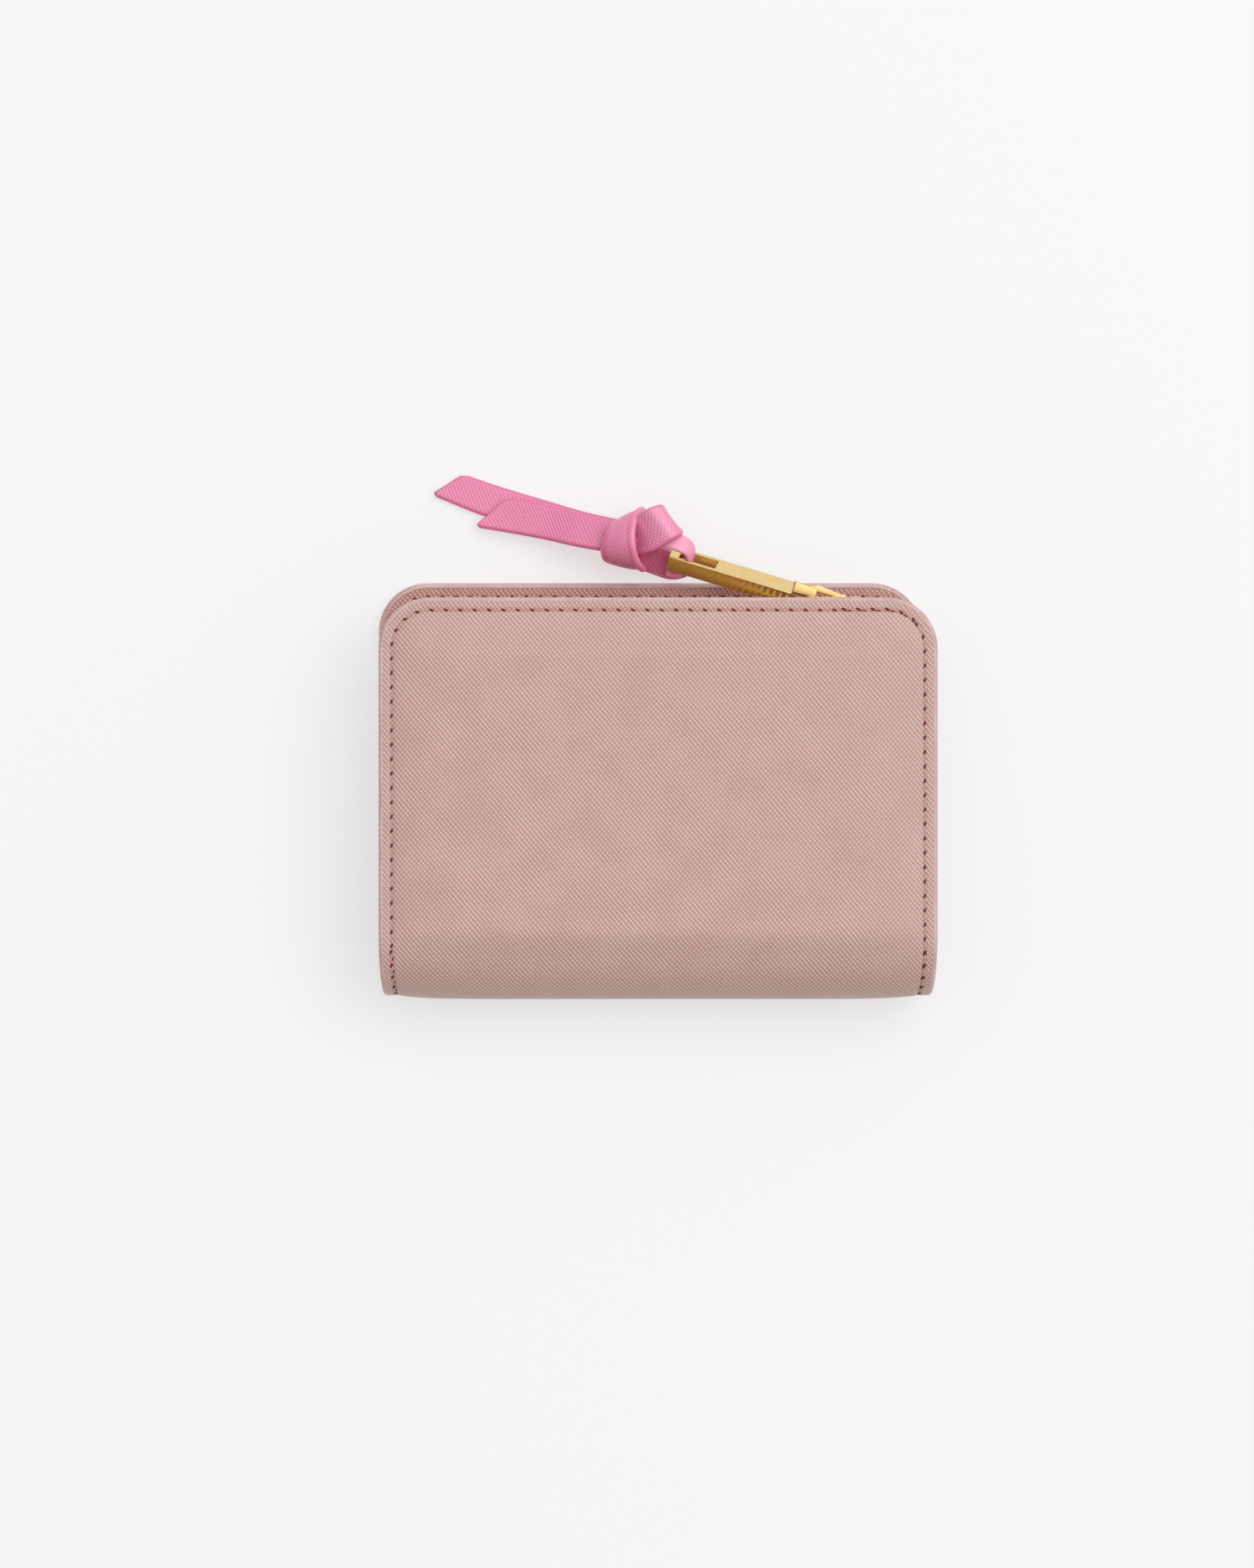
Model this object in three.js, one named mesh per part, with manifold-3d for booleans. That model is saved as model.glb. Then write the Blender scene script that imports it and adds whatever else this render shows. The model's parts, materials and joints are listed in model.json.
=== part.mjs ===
// Compact bifold wallet with a zipped coin pocket, lying closed on its front half.
// Millimetres, +Z up, origin on the table at the centre of the underside.
// +X runs along the zip to its closed end, +Y from the fold to the free edges.
import * as THREE from 'three';
import { mergeVertices } from 'three/addons/utils/BufferGeometryUtils.js';
import Module from 'manifold-3d';

const wasm = await Module();
wasm.setup();

// ---- Overall sizes, closed ----
const width = 115;
const frontDepth = 87.3;
const backSetback = 4.1;
const crown = 1.2;
const cornerRadius = 10.5;
const frontLean = 0.0183;

// ---- Sheet stock and clearances ----
const coverLeather = 1.2;
const wallLeather = 1.0;
const liningLeather = 0.6;
const gussetLeather = 0.8;
const boardStock = 0.6;
const textile = 0.4;
const layerGap = 0.3;
const turnIn = 0.5;

// ---- Fold ----
const spineReach = 15;
const spineBoardArc = THREE.MathUtils.degToRad(48);
const spineSteps = 24;

// ---- Card pockets of the front half ----
const cardWidth = 85.6;
const cardRoom = 5;
const seamAllowance = 3.2;
const cardPocketCount = 3;
const cardStep = 8.5;
const halvesGap = 0.9;

// ---- Coin pocket and zip ----
const pocketRoom = 9.8;
const pocketFloorSetback = 0.65;
const gussetFoldDepth = 6.5;
const gussetTopDrop = 6;
const tapeHem = 5.9;
const tapeEndInset = 6;
const zipInset = 1.95;
const tapeThick = 0.6;
const teethThick = 2.2;
const toothPitch = 2.4;
const toothWide = 0.9;
const toothHalfOverlap = 0.55;
const beadInner = 0.9;
const beadOuter = 1.6;
const stopLong = 1.6;

// ---- Slider ----
const sliderLong = 11;
const sliderEndInset = 15.5;
const sliderWide = 8.4;
const sliderPlate = 0.9;
const sliderFlange = 0.8;
const diamondLong = 3.6;
const diamondHalf = 1.3;
const bridgeHigh = 2.4;
const bridgeWide = 2.4;
const bridgeRail = 0.9;
const bridgeLegLong = 1.1;

// ---- Puller ----
const barLong = 26.5;
const barWide = 4.6;
const barThick = 3.5;
const barToeThick = 1.4;
const barToeLong = 8.5;
const barHeading = THREE.MathUtils.degToRad(17.3);
const barDroop = THREE.MathUtils.degToRad(8);
const barRoll = THREE.MathUtils.degToRad(52);
const slotLong = 7.9;
const slotEndWall = 1.5;
const slotRail = 0.77;
const eyeReach = 4;
const pinRadius = 0.45;
const eyeArm = 0.9;
const pinAboveSlider = 0.85;

// ---- Pull strap ----
const strapWide = 7;
const strapThick = 1.4;
const loopBandGap = 0.22;
const loopClearance = 0.45;
const knotSize = new THREE.Vector3(7, 7.2, 7.6);
const knotBack = 7.0;
const knotAside = 5.4;
const longTail = { reach: 41.5, heading: 19, cutSlant: 31.9, lift: 0.3, aside: 1.4 };
const shortTail = { reach: 31.5, heading: 14.4, cutSlant: 38.3, lift: 2.0, aside: -2.6 };

// ---- Snap ----
const snapRadius = 6;
const snapFlange = 0.7;
const snapSocketRadius = 4.4;
const snapStudRadius = 2.2;
const snapClearance = 0.4;
const snapInset = 7.5;

// ---- Worked-out planes and levels ----
const halfWidth = width / 2;
const spineY = -frontDepth / 2;
const frontEdgeY = frontDepth / 2;
const backEdgeY = frontEdgeY - backSetback;
const bendY = spineY + spineReach;
const snapY = backEdgeY - snapInset;
const pocketFloorY = bendY + pocketFloorSetback;
const pitch = (stock) => stock + layerGap;

const frontBoardZ = pitch(coverLeather);
const frontLiningZ = frontBoardZ + pitch(boardStock);
const firstPocketZ = frontLiningZ + pitch(liningLeather);
const pocketsTopZ = firstPocketZ + cardPocketCount * pitch(liningLeather) - layerGap;
const coinWallZ = pocketsTopZ + halvesGap;
const wallBoardZ = coinWallZ + pitch(wallLeather);
const innerLiningZ = wallBoardZ + pitch(boardStock);
const outerLiningZ = innerLiningZ + textile + pocketRoom;
const backBoardZ = outerLiningZ + pitch(textile);
const backCoverZ = backBoardZ + pitch(boardStock);
const marginTopZ = backCoverZ + coverLeather;
const zipZ = (wallBoardZ + backBoardZ + boardStock) / 2;
const zipY = backEdgeY - zipInset;
const tapeHemY = zipY - tapeHem;
const bendZ = marginTopZ / 2;
const tapeHalf = halfWidth - tapeEndInset;
const gussetLowZ = coinWallZ + pitch(wallLeather);
const gussetHighZ = backCoverZ - layerGap;
const gussetRise = (gussetHighZ - gussetLowZ) / 2;
const gussetStock = (gussetLeather * Math.hypot(gussetFoldDepth, gussetRise)) / gussetRise;
const sliderX = halfWidth - sliderEndInset - sliderLong;
const diamondX = sliderX + sliderLong - diamondLong - sliderPlate;

const group = new THREE.Group();
group.name = 'wallet';

const finish = {
  rose: { color: 0xcda59a, roughness: 0.45, metalness: 0 },
  roseInner: { color: 0xc39a92, roughness: 0.55, metalness: 0 },
  board: { color: 0x6f6259, roughness: 0.9, metalness: 0 },
  cloth: { color: 0x9c7f7a, roughness: 0.85, metalness: 0 },
  tape: { color: 0xb98e88, roughness: 0.8, metalness: 0 },
  gold: { color: 0xd9b778, roughness: 0.28, metalness: 1 },
  pink: { color: 0xe88fb0, roughness: 0.4, metalness: 0 },
};

function add(name, geometry, look) {
  const mesh = new THREE.Mesh(geometry, new THREE.MeshStandardMaterial(look));
  mesh.name = name;
  group.add(mesh);
}

// ---- Solids ----

function outline(points) {
  return new THREE.Shape(points.map(([x, y]) => new THREE.Vector2(x, y)));
}

// A flat sheet: its outline in X and Y, raised from z.
function sheet(shape, z, thick) {
  const geometry = new THREE.ExtrudeGeometry(shape, { depth: thick, bevelEnabled: false, curveSegments: 8 });
  return geometry.translate(0, 0, z);
}

// A bar along X whose section is an outline in Y and Z.
function barAlongX(shape, x0, x1) {
  const geometry = new THREE.ExtrudeGeometry(shape, { depth: x1 - x0, bevelEnabled: false });
  const turn = new THREE.Matrix4().makeBasis(
    new THREE.Vector3(0, 1, 0), new THREE.Vector3(0, 0, 1), new THREE.Vector3(1, 0, 0));
  return geometry.applyMatrix4(turn).translate(x0, 0, 0);
}

// A bar along Y whose section is an outline in X and Z.
function barAlongY(shape, y0, y1) {
  const geometry = new THREE.ExtrudeGeometry(shape, { depth: y1 - y0, bevelEnabled: false });
  const turn = new THREE.Matrix4().makeBasis(
    new THREE.Vector3(1, 0, 0), new THREE.Vector3(0, 0, 1), new THREE.Vector3(0, -1, 0));
  return geometry.applyMatrix4(turn).translate(0, y1, 0);
}

function block(x0, x1, y0, y1, z0, z1) {
  const geometry = new THREE.BoxGeometry(x1 - x0, y1 - y0, z1 - z0);
  return geometry.translate((x0 + x1) / 2, (y0 + y1) / 2, (z0 + z1) / 2);
}

function cylinderZ(radius, x, y, z0, z1, sides = 32) {
  const geometry = new THREE.CylinderGeometry(radius, radius, z1 - z0, sides);
  return geometry.rotateX(Math.PI / 2).translate(x, y, (z0 + z1) / 2);
}

function toManifold(geometry) {
  const bare = geometry.clone();
  bare.deleteAttribute('normal');
  bare.deleteAttribute('uv');
  const merged = mergeVertices(bare, 1e-4);
  return new wasm.Manifold(new wasm.Mesh({
    numProp: 3,
    vertProperties: new Float32Array(merged.attributes.position.array),
    triVerts: new Uint32Array(merged.index.array),
  }));
}

function fromManifold(solid) {
  const mesh = solid.getMesh();
  const geometry = new THREE.BufferGeometry();
  geometry.setAttribute('position', new THREE.BufferAttribute(new Float32Array(mesh.vertProperties), 3));
  geometry.setIndex(new THREE.BufferAttribute(new Uint32Array(mesh.triVerts), 1));
  geometry.computeVertexNormals();
  return geometry;
}

function joined(...geometries) {
  return fromManifold(geometries.map(toManifold).reduce((sum, solid) => sum.add(solid)));
}

function cut(body, ...tools) {
  return fromManifold(tools.map(toManifold).reduce((rest, tool) => rest.subtract(tool), toManifold(body)));
}

// A panel from y0 up to y1, with its two upper corners rounded.
function panelShape(half, y0, y1, radius) {
  const shape = new THREE.Shape();
  shape.moveTo(-half, y0);
  shape.lineTo(half, y0);
  shape.lineTo(half, y1 - radius);
  shape.absarc(half - radius, y1 - radius, radius, 0, Math.PI / 2, false);
  shape.lineTo(-half + radius, y1);
  shape.absarc(-half + radius, y1 - radius, radius, Math.PI / 2, Math.PI, false);
  shape.closePath();
  return shape;
}

// The bend of one layer round the spine: a half ellipse set in from the outside, swept over an angle.
function bendShape(inset, thick, halfAngle) {
  const points = [];
  const along = (reach, rise, angle) =>
    [bendY - reach * Math.cos(angle), bendZ + rise * Math.sin(angle)];
  for (let i = 0; i <= spineSteps; i += 1) {
    const angle = -halfAngle + (2 * halfAngle * i) / spineSteps;
    points.push(along(spineReach - inset, bendZ - inset, -angle));
  }
  for (let i = spineSteps; i >= 0; i -= 1) {
    const angle = -halfAngle + (2 * halfAngle * i) / spineSteps;
    points.push(along(spineReach - inset - thick, bendZ - inset - thick, -angle));
  }
  return outline(points);
}

// ---- Front half: cover, board, lining and stepped card pockets ----

// The closed halves lie slightly out of line: the front half leans to the left, away from the fold.
function leaned(geometry) {
  const lean = new THREE.Matrix4().makeShear(0, 0, -frontLean, 0, 0, 0);
  return geometry.translate(0, -spineY, 0).applyMatrix4(lean).translate(0, spineY, 0);
}

function addFrontHalf() {
  const y0 = bendY + layerGap;
  const lining = halfWidth - turnIn;
  const board = halfWidth - seamAllowance;
  add('front_cover', leaned(sheet(panelShape(halfWidth, y0, frontEdgeY, cornerRadius),
    0, coverLeather)), finish.rose);
  add('front_board', leaned(sheet(panelShape(board, y0, frontEdgeY - seamAllowance,
    cornerRadius - seamAllowance), frontBoardZ, boardStock)), finish.board);
  add('front_lining', leaned(sheet(panelShape(lining, y0, frontEdgeY - turnIn,
    cornerRadius - turnIn), frontLiningZ, liningLeather)), finish.roseInner);
  const pocketHalf = cardWidth / 2 + cardRoom;
  for (let i = 0; i < cardPocketCount; i += 1) {
    const top = snapY - snapRadius - 2 * layerGap - i * cardStep;
    const z = firstPocketZ + i * pitch(liningLeather);
    add(`card_pocket_${i + 1}`, leaned(block(-pocketHalf, pocketHalf, y0 + turnIn, top,
      z, z + liningLeather)), finish.roseInner);
  }
}

// ---- Spine: outer leather, stiffener and inner lining ----

function addSpine() {
  const half = Math.PI / 2;
  add('spine_leather', barAlongX(bendShape(0, coverLeather, half), -halfWidth, halfWidth), finish.rose);
  add('spine_board', barAlongX(bendShape(pitch(coverLeather), boardStock, spineBoardArc),
    -halfWidth + seamAllowance, halfWidth - seamAllowance), finish.board);
  add('spine_lining', barAlongX(bendShape(frontLiningZ, liningLeather, half),
    -halfWidth + turnIn, halfWidth - turnIn), finish.roseInner);
}

// ---- Back half: padded cover over a zipped coin pocket ----

// The padded cover: flat below, with a face that swells from its pressed margin to the crown.
function paddedCover() {
  const y0 = bendY + layerGap;
  const shape = panelShape(halfWidth, y0, backEdgeY, cornerRadius);
  const rim = shape.getPoints(6);
  const rings = [[0, coverLeather], [seamAllowance, coverLeather]];
  for (const t of [0.25, 0.5, 0.75]) {
    rings.push([seamAllowance + t * 12, coverLeather + crown * Math.sin((t * Math.PI) / 2)]);
  }
  rings.push([seamAllowance + 12, coverLeather + crown]);
  const middle = (y0 + backEdgeY) / 2;
  const halfDeep = (backEdgeY - y0) / 2;
  const position = [];
  const index = [];
  const outer = rim.slice(0, -1);
  const place = (inset, z) => outer.forEach((p) => {
    const x = (p.x * (halfWidth - inset)) / halfWidth;
    const y = middle + ((p.y - middle) * (halfDeep - inset)) / halfDeep;
    position.push(x, y, backCoverZ + z);
  });
  place(0, 0);
  rings.forEach(([inset, z]) => place(inset, z));
  const count = outer.length;
  for (let ring = 0; ring < rings.length; ring += 1) {
    for (let i = 0; i < count; i += 1) {
      const a = ring * count + i;
      const b = ring * count + ((i + 1) % count);
      index.push(a, b, b + count, a, b + count, a + count);
    }
  }
  const caps = THREE.ShapeUtils.triangulateShape(outer, []);
  const last = rings.length * count;
  caps.forEach(([a, b, c]) => index.push(last + a, last + b, last + c, c, b, a));
  const geometry = new THREE.BufferGeometry();
  geometry.setAttribute('position', new THREE.Float32BufferAttribute(position, 3));
  geometry.setIndex(index);
  geometry.computeVertexNormals();
  return geometry;
}

// A side gusset: a sheet with a V fold pointing into the pocket, on the side given by its sign.
function gussetShape(side) {
  const edge = halfWidth - turnIn;
  const fold = edge - gussetFoldDepth;
  const middle = (gussetLowZ + gussetHighZ) / 2;
  const low = gussetLowZ;
  const high = gussetHighZ;
  const stock = gussetStock;
  return outline([[edge, low], [edge - stock, low], [fold - stock, middle], [edge - stock, high],
    [edge, high], [fold, middle]].map(([x, z]) => [side * x, z]));
}

function addCoinPocket() {
  const y0 = bendY + layerGap;
  const inner = halfWidth - turnIn;
  const liningHalf = inner - gussetStock - pitch(gussetFoldDepth);
  const boardHalf = liningHalf;
  const liningEndY = zipY - teethThick / 2 - sliderPlate - 2 * layerGap;
  add('back_cover', paddedCover(), finish.rose);
  add('back_board', sheet(outline([[-boardHalf, pocketFloorY], [boardHalf, pocketFloorY],
    [boardHalf, tapeHemY - layerGap], [-boardHalf, tapeHemY - layerGap]]), backBoardZ, boardStock),
  finish.board);
  add('coin_lining_outer', block(-liningHalf, liningHalf, pocketFloorY + pitch(liningLeather),
    liningEndY, outerLiningZ, outerLiningZ + textile), finish.cloth);
  add('coin_lining_inner', block(-liningHalf, liningHalf, pocketFloorY + pitch(liningLeather),
    liningEndY, innerLiningZ, innerLiningZ + textile), finish.cloth);
  add('coin_wall_board', block(-boardHalf, boardHalf, pocketFloorY, tapeHemY - layerGap,
    wallBoardZ, wallBoardZ + boardStock), finish.board);
  add('coin_wall', sheet(panelShape(inner, y0, backEdgeY - turnIn, cornerRadius - turnIn),
    coinWallZ, wallLeather), finish.roseInner);
  add('coin_pocket_floor', block(-liningHalf, liningHalf, pocketFloorY, pocketFloorY + liningLeather,
    wallBoardZ + pitch(boardStock), backBoardZ - layerGap), finish.roseInner);
  const gussetTopY = backEdgeY - cornerRadius - gussetTopDrop + cornerRadius / 2;
  [['left', -1], ['right', 1]].forEach(([name, side]) => {
    add(`gusset_${name}`, barAlongY(gussetShape(side), y0, gussetTopY), finish.roseInner);
  });
}

// ---- Zip: two tapes, two rows of teeth and their stops ----

// One tape: a hem laid on its board's level, turned down or up towards the teeth.
function tapeShape(hemZ, up) {
  const tipZ = zipZ + up * (beadOuter + layerGap);
  const outerZ = up > 0 ? hemZ + tapeThick : hemZ;
  const innerZ = up > 0 ? hemZ : hemZ + tapeThick;
  const back = zipY - tapeThick / 2;
  const front = zipY + tapeThick / 2;
  return outline([[tapeHemY, outerZ], [front, outerZ], [front, tipZ], [back, tipZ],
    [back, innerZ], [tapeHemY, innerZ]]);
}

// One row of teeth on its bead, as a comb in X and Z. The rows are half a pitch apart.
function teethShape(up, start, end) {
  const lead = up > 0 ? 0 : toothPitch / 2;
  const points = [[start, zipZ + up * beadOuter], [start, zipZ + up * beadInner]];
  for (let x = start + lead + layerGap; x + toothWide < end; x += toothPitch) {
    points.push([x, zipZ + up * beadInner], [x, zipZ - up * toothHalfOverlap]);
    points.push([x + toothWide, zipZ - up * toothHalfOverlap], [x + toothWide, zipZ + up * beadInner]);
  }
  points.push([end, zipZ + up * beadInner], [end, zipZ + up * beadOuter]);
  return outline(points);
}

function addZip() {
  const start = -tapeHalf + stopLong + layerGap;
  const end = diamondX - layerGap;
  [['outer', 1, backBoardZ], ['inner', -1, wallBoardZ]].forEach(([name, up, hemZ]) => {
    add(`zip_tape_${name}`, barAlongX(tapeShape(hemZ, up), -tapeHalf, tapeHalf), finish.tape);
    add(`zip_teeth_${name}`, barAlongY(teethShape(up, start, end), zipY - teethThick / 2,
      zipY + teethThick / 2), finish.gold);
    const stopX = sliderX + sliderLong + layerGap;
    const [z0, z1] = [zipZ + up * beadInner, zipZ + up * beadOuter].sort((a, b) => a - b);
    add(`zip_top_stop_${name}`, block(stopX, stopX + stopLong, zipY - teethThick / 2,
      zipY + teethThick / 2, z0, z1), finish.gold);
  });
  add('zip_bottom_stop', block(-tapeHalf, -tapeHalf + stopLong, zipY - teethThick / 2,
    zipY + teethThick / 2, zipZ - beadOuter, zipZ + beadOuter), finish.gold);
}

// ---- Slider: two plates joined by the diamond, edge flanges and a bridge for the puller ----

function addSlider() {
  const x0 = sliderX;
  const x1 = sliderX + sliderLong;
  const halfWide = sliderWide / 2;
  const plateIn = teethThick / 2 + layerGap;
  const flangeIn = tapeThick / 2 + layerGap;
  const narrow = halfWide * 0.8;
  const parts = [];
  const plate = outline([[x0, zipZ - narrow], [x0 + sliderLong / 2, zipZ - narrow], [x1, zipZ - halfWide],
    [x1, zipZ + halfWide], [x0 + sliderLong / 2, zipZ + narrow], [x0, zipZ + narrow]]);
  [-1, 1].forEach((side) => {
    const [a, b] = [zipY + side * plateIn, zipY + side * (plateIn + sliderPlate)].sort((p, q) => p - q);
    parts.push(barAlongY(plate, a, b));
    const [c, d] = [zipY + side * flangeIn, zipY + side * (plateIn + 0.1)].sort((p, q) => p - q);
    [-1, 1].forEach((up) => {
      const [e, f] = [zipZ + up * (narrow - sliderFlange), zipZ + up * narrow].sort((p, q) => p - q);
      parts.push(block(x0, x1, c, d, e, f));
    });
  });
  const diamond = outline([[diamondX, zipZ], [diamondX + diamondLong * 0.7, zipZ - diamondHalf],
    [diamondX + diamondLong, zipZ - diamondHalf * 0.6], [diamondX + diamondLong, zipZ + diamondHalf * 0.6],
    [diamondX + diamondLong * 0.7, zipZ + diamondHalf]]);
  parts.push(barAlongY(diamond, zipY - plateIn - 0.1, zipY + plateIn + 0.1));
  parts.push(bridge(x0, zipY + plateIn + sliderPlate));
  add('zip_slider', joined(...parts), finish.gold);
}

// The bridge: a rail that stands highest over its left leg and comes down to the plate on the right.
function bridge(x0, y0) {
  const left = x0 - bridgeLegLong / 2;
  const top = y0 + bridgeHigh;
  const right = x0 + sliderLong * 0.72;
  const shape = outline([[left, y0 - 0.1], [left + bridgeLegLong, y0 - 0.1],
    [left + bridgeLegLong, top - bridgeRail], [left + bridgeLegLong + 1.6, top - bridgeRail],
    [right - 1.6, y0 + 0.3], [right - 1.6, y0 - 0.1],
    [right, y0 - 0.1], [right, y0 + 0.35], [left + bridgeLegLong + 1.8, top], [left + 0.3, top],
    [left, top - 0.4]]);
  return sheet(shape, zipZ - bridgeWide / 2, bridgeWide);
}

// ---- Puller: a slotted bar with an eye whose pin passes under the bridge ----

const pinAt = new THREE.Vector3(sliderX + bridgeLegLong / 2 + pinRadius + layerGap,
  zipY + teethThick / 2 + layerGap + sliderPlate + pinAboveSlider, zipZ);

// The bar's own directions: along it from the eye, across its slotted face, and out of that face.
function barBasis() {
  const along = new THREE.Vector3(
    -Math.cos(barHeading) * Math.cos(barDroop), Math.sin(barHeading) * Math.cos(barDroop),
    -Math.sin(barDroop));
  const level = new THREE.Vector3(Math.sin(barHeading), Math.cos(barHeading), 0);
  const across = level.applyAxisAngle(along, barRoll);
  const out = new THREE.Vector3().crossVectors(along, across);
  return { along, across, out };
}

const bar = barBasis();
const barStart = pinAt.clone().addScaledVector(bar.along, eyeReach).addScaledVector(bar.out, barThick / 2);
const barMatrix = new THREE.Matrix4().makeBasis(bar.along, bar.across, bar.out).setPosition(barStart);

// The bar seen along its width: its slotted face is in line with the pin, and its other face slopes
// up to a thin toe that clears the teeth.
function barBody() {
  const face = -barThick / 2;
  const side = sheet(outline([[0, face], [barLong, face], [barLong, -face], [barToeLong, -face],
    [0, face + barToeThick]]), -barWide / 2, barWide);
  return side.rotateX(Math.PI / 2);
}

function addPuller() {
  const body = barBody();
  const slot = block(barLong - slotEndWall - slotLong, barLong - slotEndWall,
    -barWide / 2 + slotRail, barWide / 2 - slotRail, -barThick, barThick);
  const slotted = cut(body, slot).applyMatrix4(barMatrix);
  const armZ = bridgeWide / 2 + layerGap;
  const eyeMatrix = new THREE.Matrix4().makeRotationZ(Math.PI - barHeading).setPosition(pinAt);
  const rear = eyeReach * 0.72;
  const eye = joined(
    block(0, rear, -eyeArm / 2, eyeArm / 2, armZ, armZ + eyeArm),
    block(0, rear, -eyeArm / 2, eyeArm / 2, -armZ - eyeArm, -armZ),
    block(rear - 0.2, eyeReach + 0.4, -eyeArm * 0.7, eyeArm * 0.7, -armZ - eyeArm, armZ + eyeArm),
    cylinderZ(pinRadius, 0, 0, -armZ - 0.1, armZ + 0.1, 16),
  ).applyMatrix4(eyeMatrix);
  add('puller_bar', joined(slotted, eye), finish.gold);
}

// ---- Pull strap: a leather strip looped through the bar's slot and knotted, with two cut tails ----

// A tail: a flat strip from the knot to a slanted end, on the table side of the knot.
function tail(knot, { reach, heading, cutSlant, lift, aside }) {
  const length = reach;
  const slant = Math.tan(THREE.MathUtils.degToRad(cutSlant)) * strapWide;
  const geometry = sheet(outline([[0, -strapWide / 2], [length, -strapWide / 2],
    [length - slant, strapWide / 2], [0, strapWide / 2]]), 0, strapThick);
  const angle = Math.PI - THREE.MathUtils.degToRad(heading);
  const turned = geometry.scale(1, -1, 1);
  const index = turned.index ? turned.toNonIndexed() : turned;
  const flipped = flipFaces(index);
  return flipped.rotateZ(angle).translate(knot.x, knot.y + aside, lift);
}

function flipFaces(geometry) {
  const array = geometry.attributes.position.array;
  for (let i = 0; i < array.length; i += 9) {
    for (let k = 0; k < 3; k += 1) {
      const swap = array[i + 3 + k];
      array[i + 3 + k] = array[i + 6 + k];
      array[i + 6 + k] = swap;
    }
  }
  return geometry;
}

function addStrap() {
  const hook = new THREE.Vector3(barLong - slotEndWall / 2, 0, 0);
  const clear = Math.hypot(slotEndWall / 2, barThick / 2) + loopClearance;
  const half = barWide / 2 - slotRail - loopBandGap;
  const ring = new THREE.Shape();
  ring.absarc(0, 0, clear + strapThick, 0, Math.PI * 2, false);
  const hole = new THREE.Path();
  hole.absarc(0, 0, clear, 0, Math.PI * 2, true);
  ring.holes.push(hole);
  const loop = new THREE.ExtrudeGeometry(ring, { depth: half * 2, bevelEnabled: false, curveSegments: 12 });
  loop.translate(0, 0, -half).rotateX(Math.PI / 2).translate(hook.x, hook.y, hook.z);
  loop.applyMatrix4(barMatrix);
  const barEnd = new THREE.Vector3(barLong, 0, 0).applyMatrix4(barMatrix);
  const knotAt = new THREE.Vector3(barEnd.x - knotBack, barEnd.y + knotAside, knotSize.z + 0.4);
  const knot = new THREE.SphereGeometry(1, 20, 14).scale(knotSize.x, knotSize.y, knotSize.z);
  knot.rotateX(Math.PI / 2).translate(knotAt.x, knotAt.y, knotAt.z);
  add('pull_strap', joined(loop, knot, tail(knotAt, longTail), tail(knotAt, shortTail)), finish.pink);
}

// ---- Snap that holds the two halves closed ----

function addSnap() {
  const y = snapY;
  const socketZ = firstPocketZ;
  const recessZ = socketZ + snapFlange;
  const socketTop = coinWallZ - snapFlange - layerGap - layerGap;
  const socket = cut(
    joined(cylinderZ(snapRadius, 0, y, socketZ, recessZ),
      cylinderZ(snapSocketRadius, 0, y, socketZ, socketTop)),
    cylinderZ(snapStudRadius + snapClearance, 0, y, recessZ, marginTopZ));
  add('snap_socket', socket, finish.gold);
  const studZ = coinWallZ - layerGap;
  add('snap_stud', joined(cylinderZ(snapRadius, 0, y, studZ - snapFlange, studZ),
    cylinderZ(snapStudRadius, 0, y, recessZ + layerGap, studZ - 0.1)), finish.gold);
}

addFrontHalf();
addSpine();
addCoinPocket();
addZip();
addSlider();
addPuller();
addStrap();
addSnap();

export default group;
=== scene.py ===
"""A compact bifold wallet of cross-hatched rose leather with a zipped coin pocket, a gold bar
puller and a knotted pink strap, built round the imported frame. Lengths in this script are
millimetres in the frame's axes; they become metres when a mesh is made."""
import json
import math

import bmesh
import bpy
import numpy as np
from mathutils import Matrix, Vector

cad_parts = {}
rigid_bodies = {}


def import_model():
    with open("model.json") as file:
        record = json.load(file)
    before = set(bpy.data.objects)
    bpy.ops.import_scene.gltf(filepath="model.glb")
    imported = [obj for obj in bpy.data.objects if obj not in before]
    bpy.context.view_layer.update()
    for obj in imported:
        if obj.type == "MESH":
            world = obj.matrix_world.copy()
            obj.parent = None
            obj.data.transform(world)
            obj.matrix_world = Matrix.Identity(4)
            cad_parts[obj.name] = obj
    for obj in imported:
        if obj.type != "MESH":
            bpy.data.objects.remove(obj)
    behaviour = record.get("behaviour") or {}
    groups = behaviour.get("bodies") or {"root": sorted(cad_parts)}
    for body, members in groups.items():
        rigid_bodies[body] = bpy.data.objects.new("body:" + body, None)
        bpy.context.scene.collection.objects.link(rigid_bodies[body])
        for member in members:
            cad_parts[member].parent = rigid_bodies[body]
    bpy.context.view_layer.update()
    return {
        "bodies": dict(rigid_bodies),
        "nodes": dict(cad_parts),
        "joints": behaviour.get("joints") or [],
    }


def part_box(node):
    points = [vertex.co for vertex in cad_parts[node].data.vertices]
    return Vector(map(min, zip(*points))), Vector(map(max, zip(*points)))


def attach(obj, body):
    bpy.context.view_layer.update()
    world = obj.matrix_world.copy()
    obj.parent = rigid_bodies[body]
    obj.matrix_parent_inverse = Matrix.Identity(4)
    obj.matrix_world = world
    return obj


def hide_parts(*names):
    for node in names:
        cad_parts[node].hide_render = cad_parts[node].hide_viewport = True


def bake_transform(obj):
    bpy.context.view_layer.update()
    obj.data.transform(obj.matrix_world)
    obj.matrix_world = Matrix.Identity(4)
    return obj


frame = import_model()

MM = 0.001
UV_PER_MM = 0.1


# ---- Sizes taken from the frame ----

def box_mm(node):
    """Lowest and highest corner of a frame node, in millimetres."""
    low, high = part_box(node)
    return np.array(low) / MM, np.array(high) / MM


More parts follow.
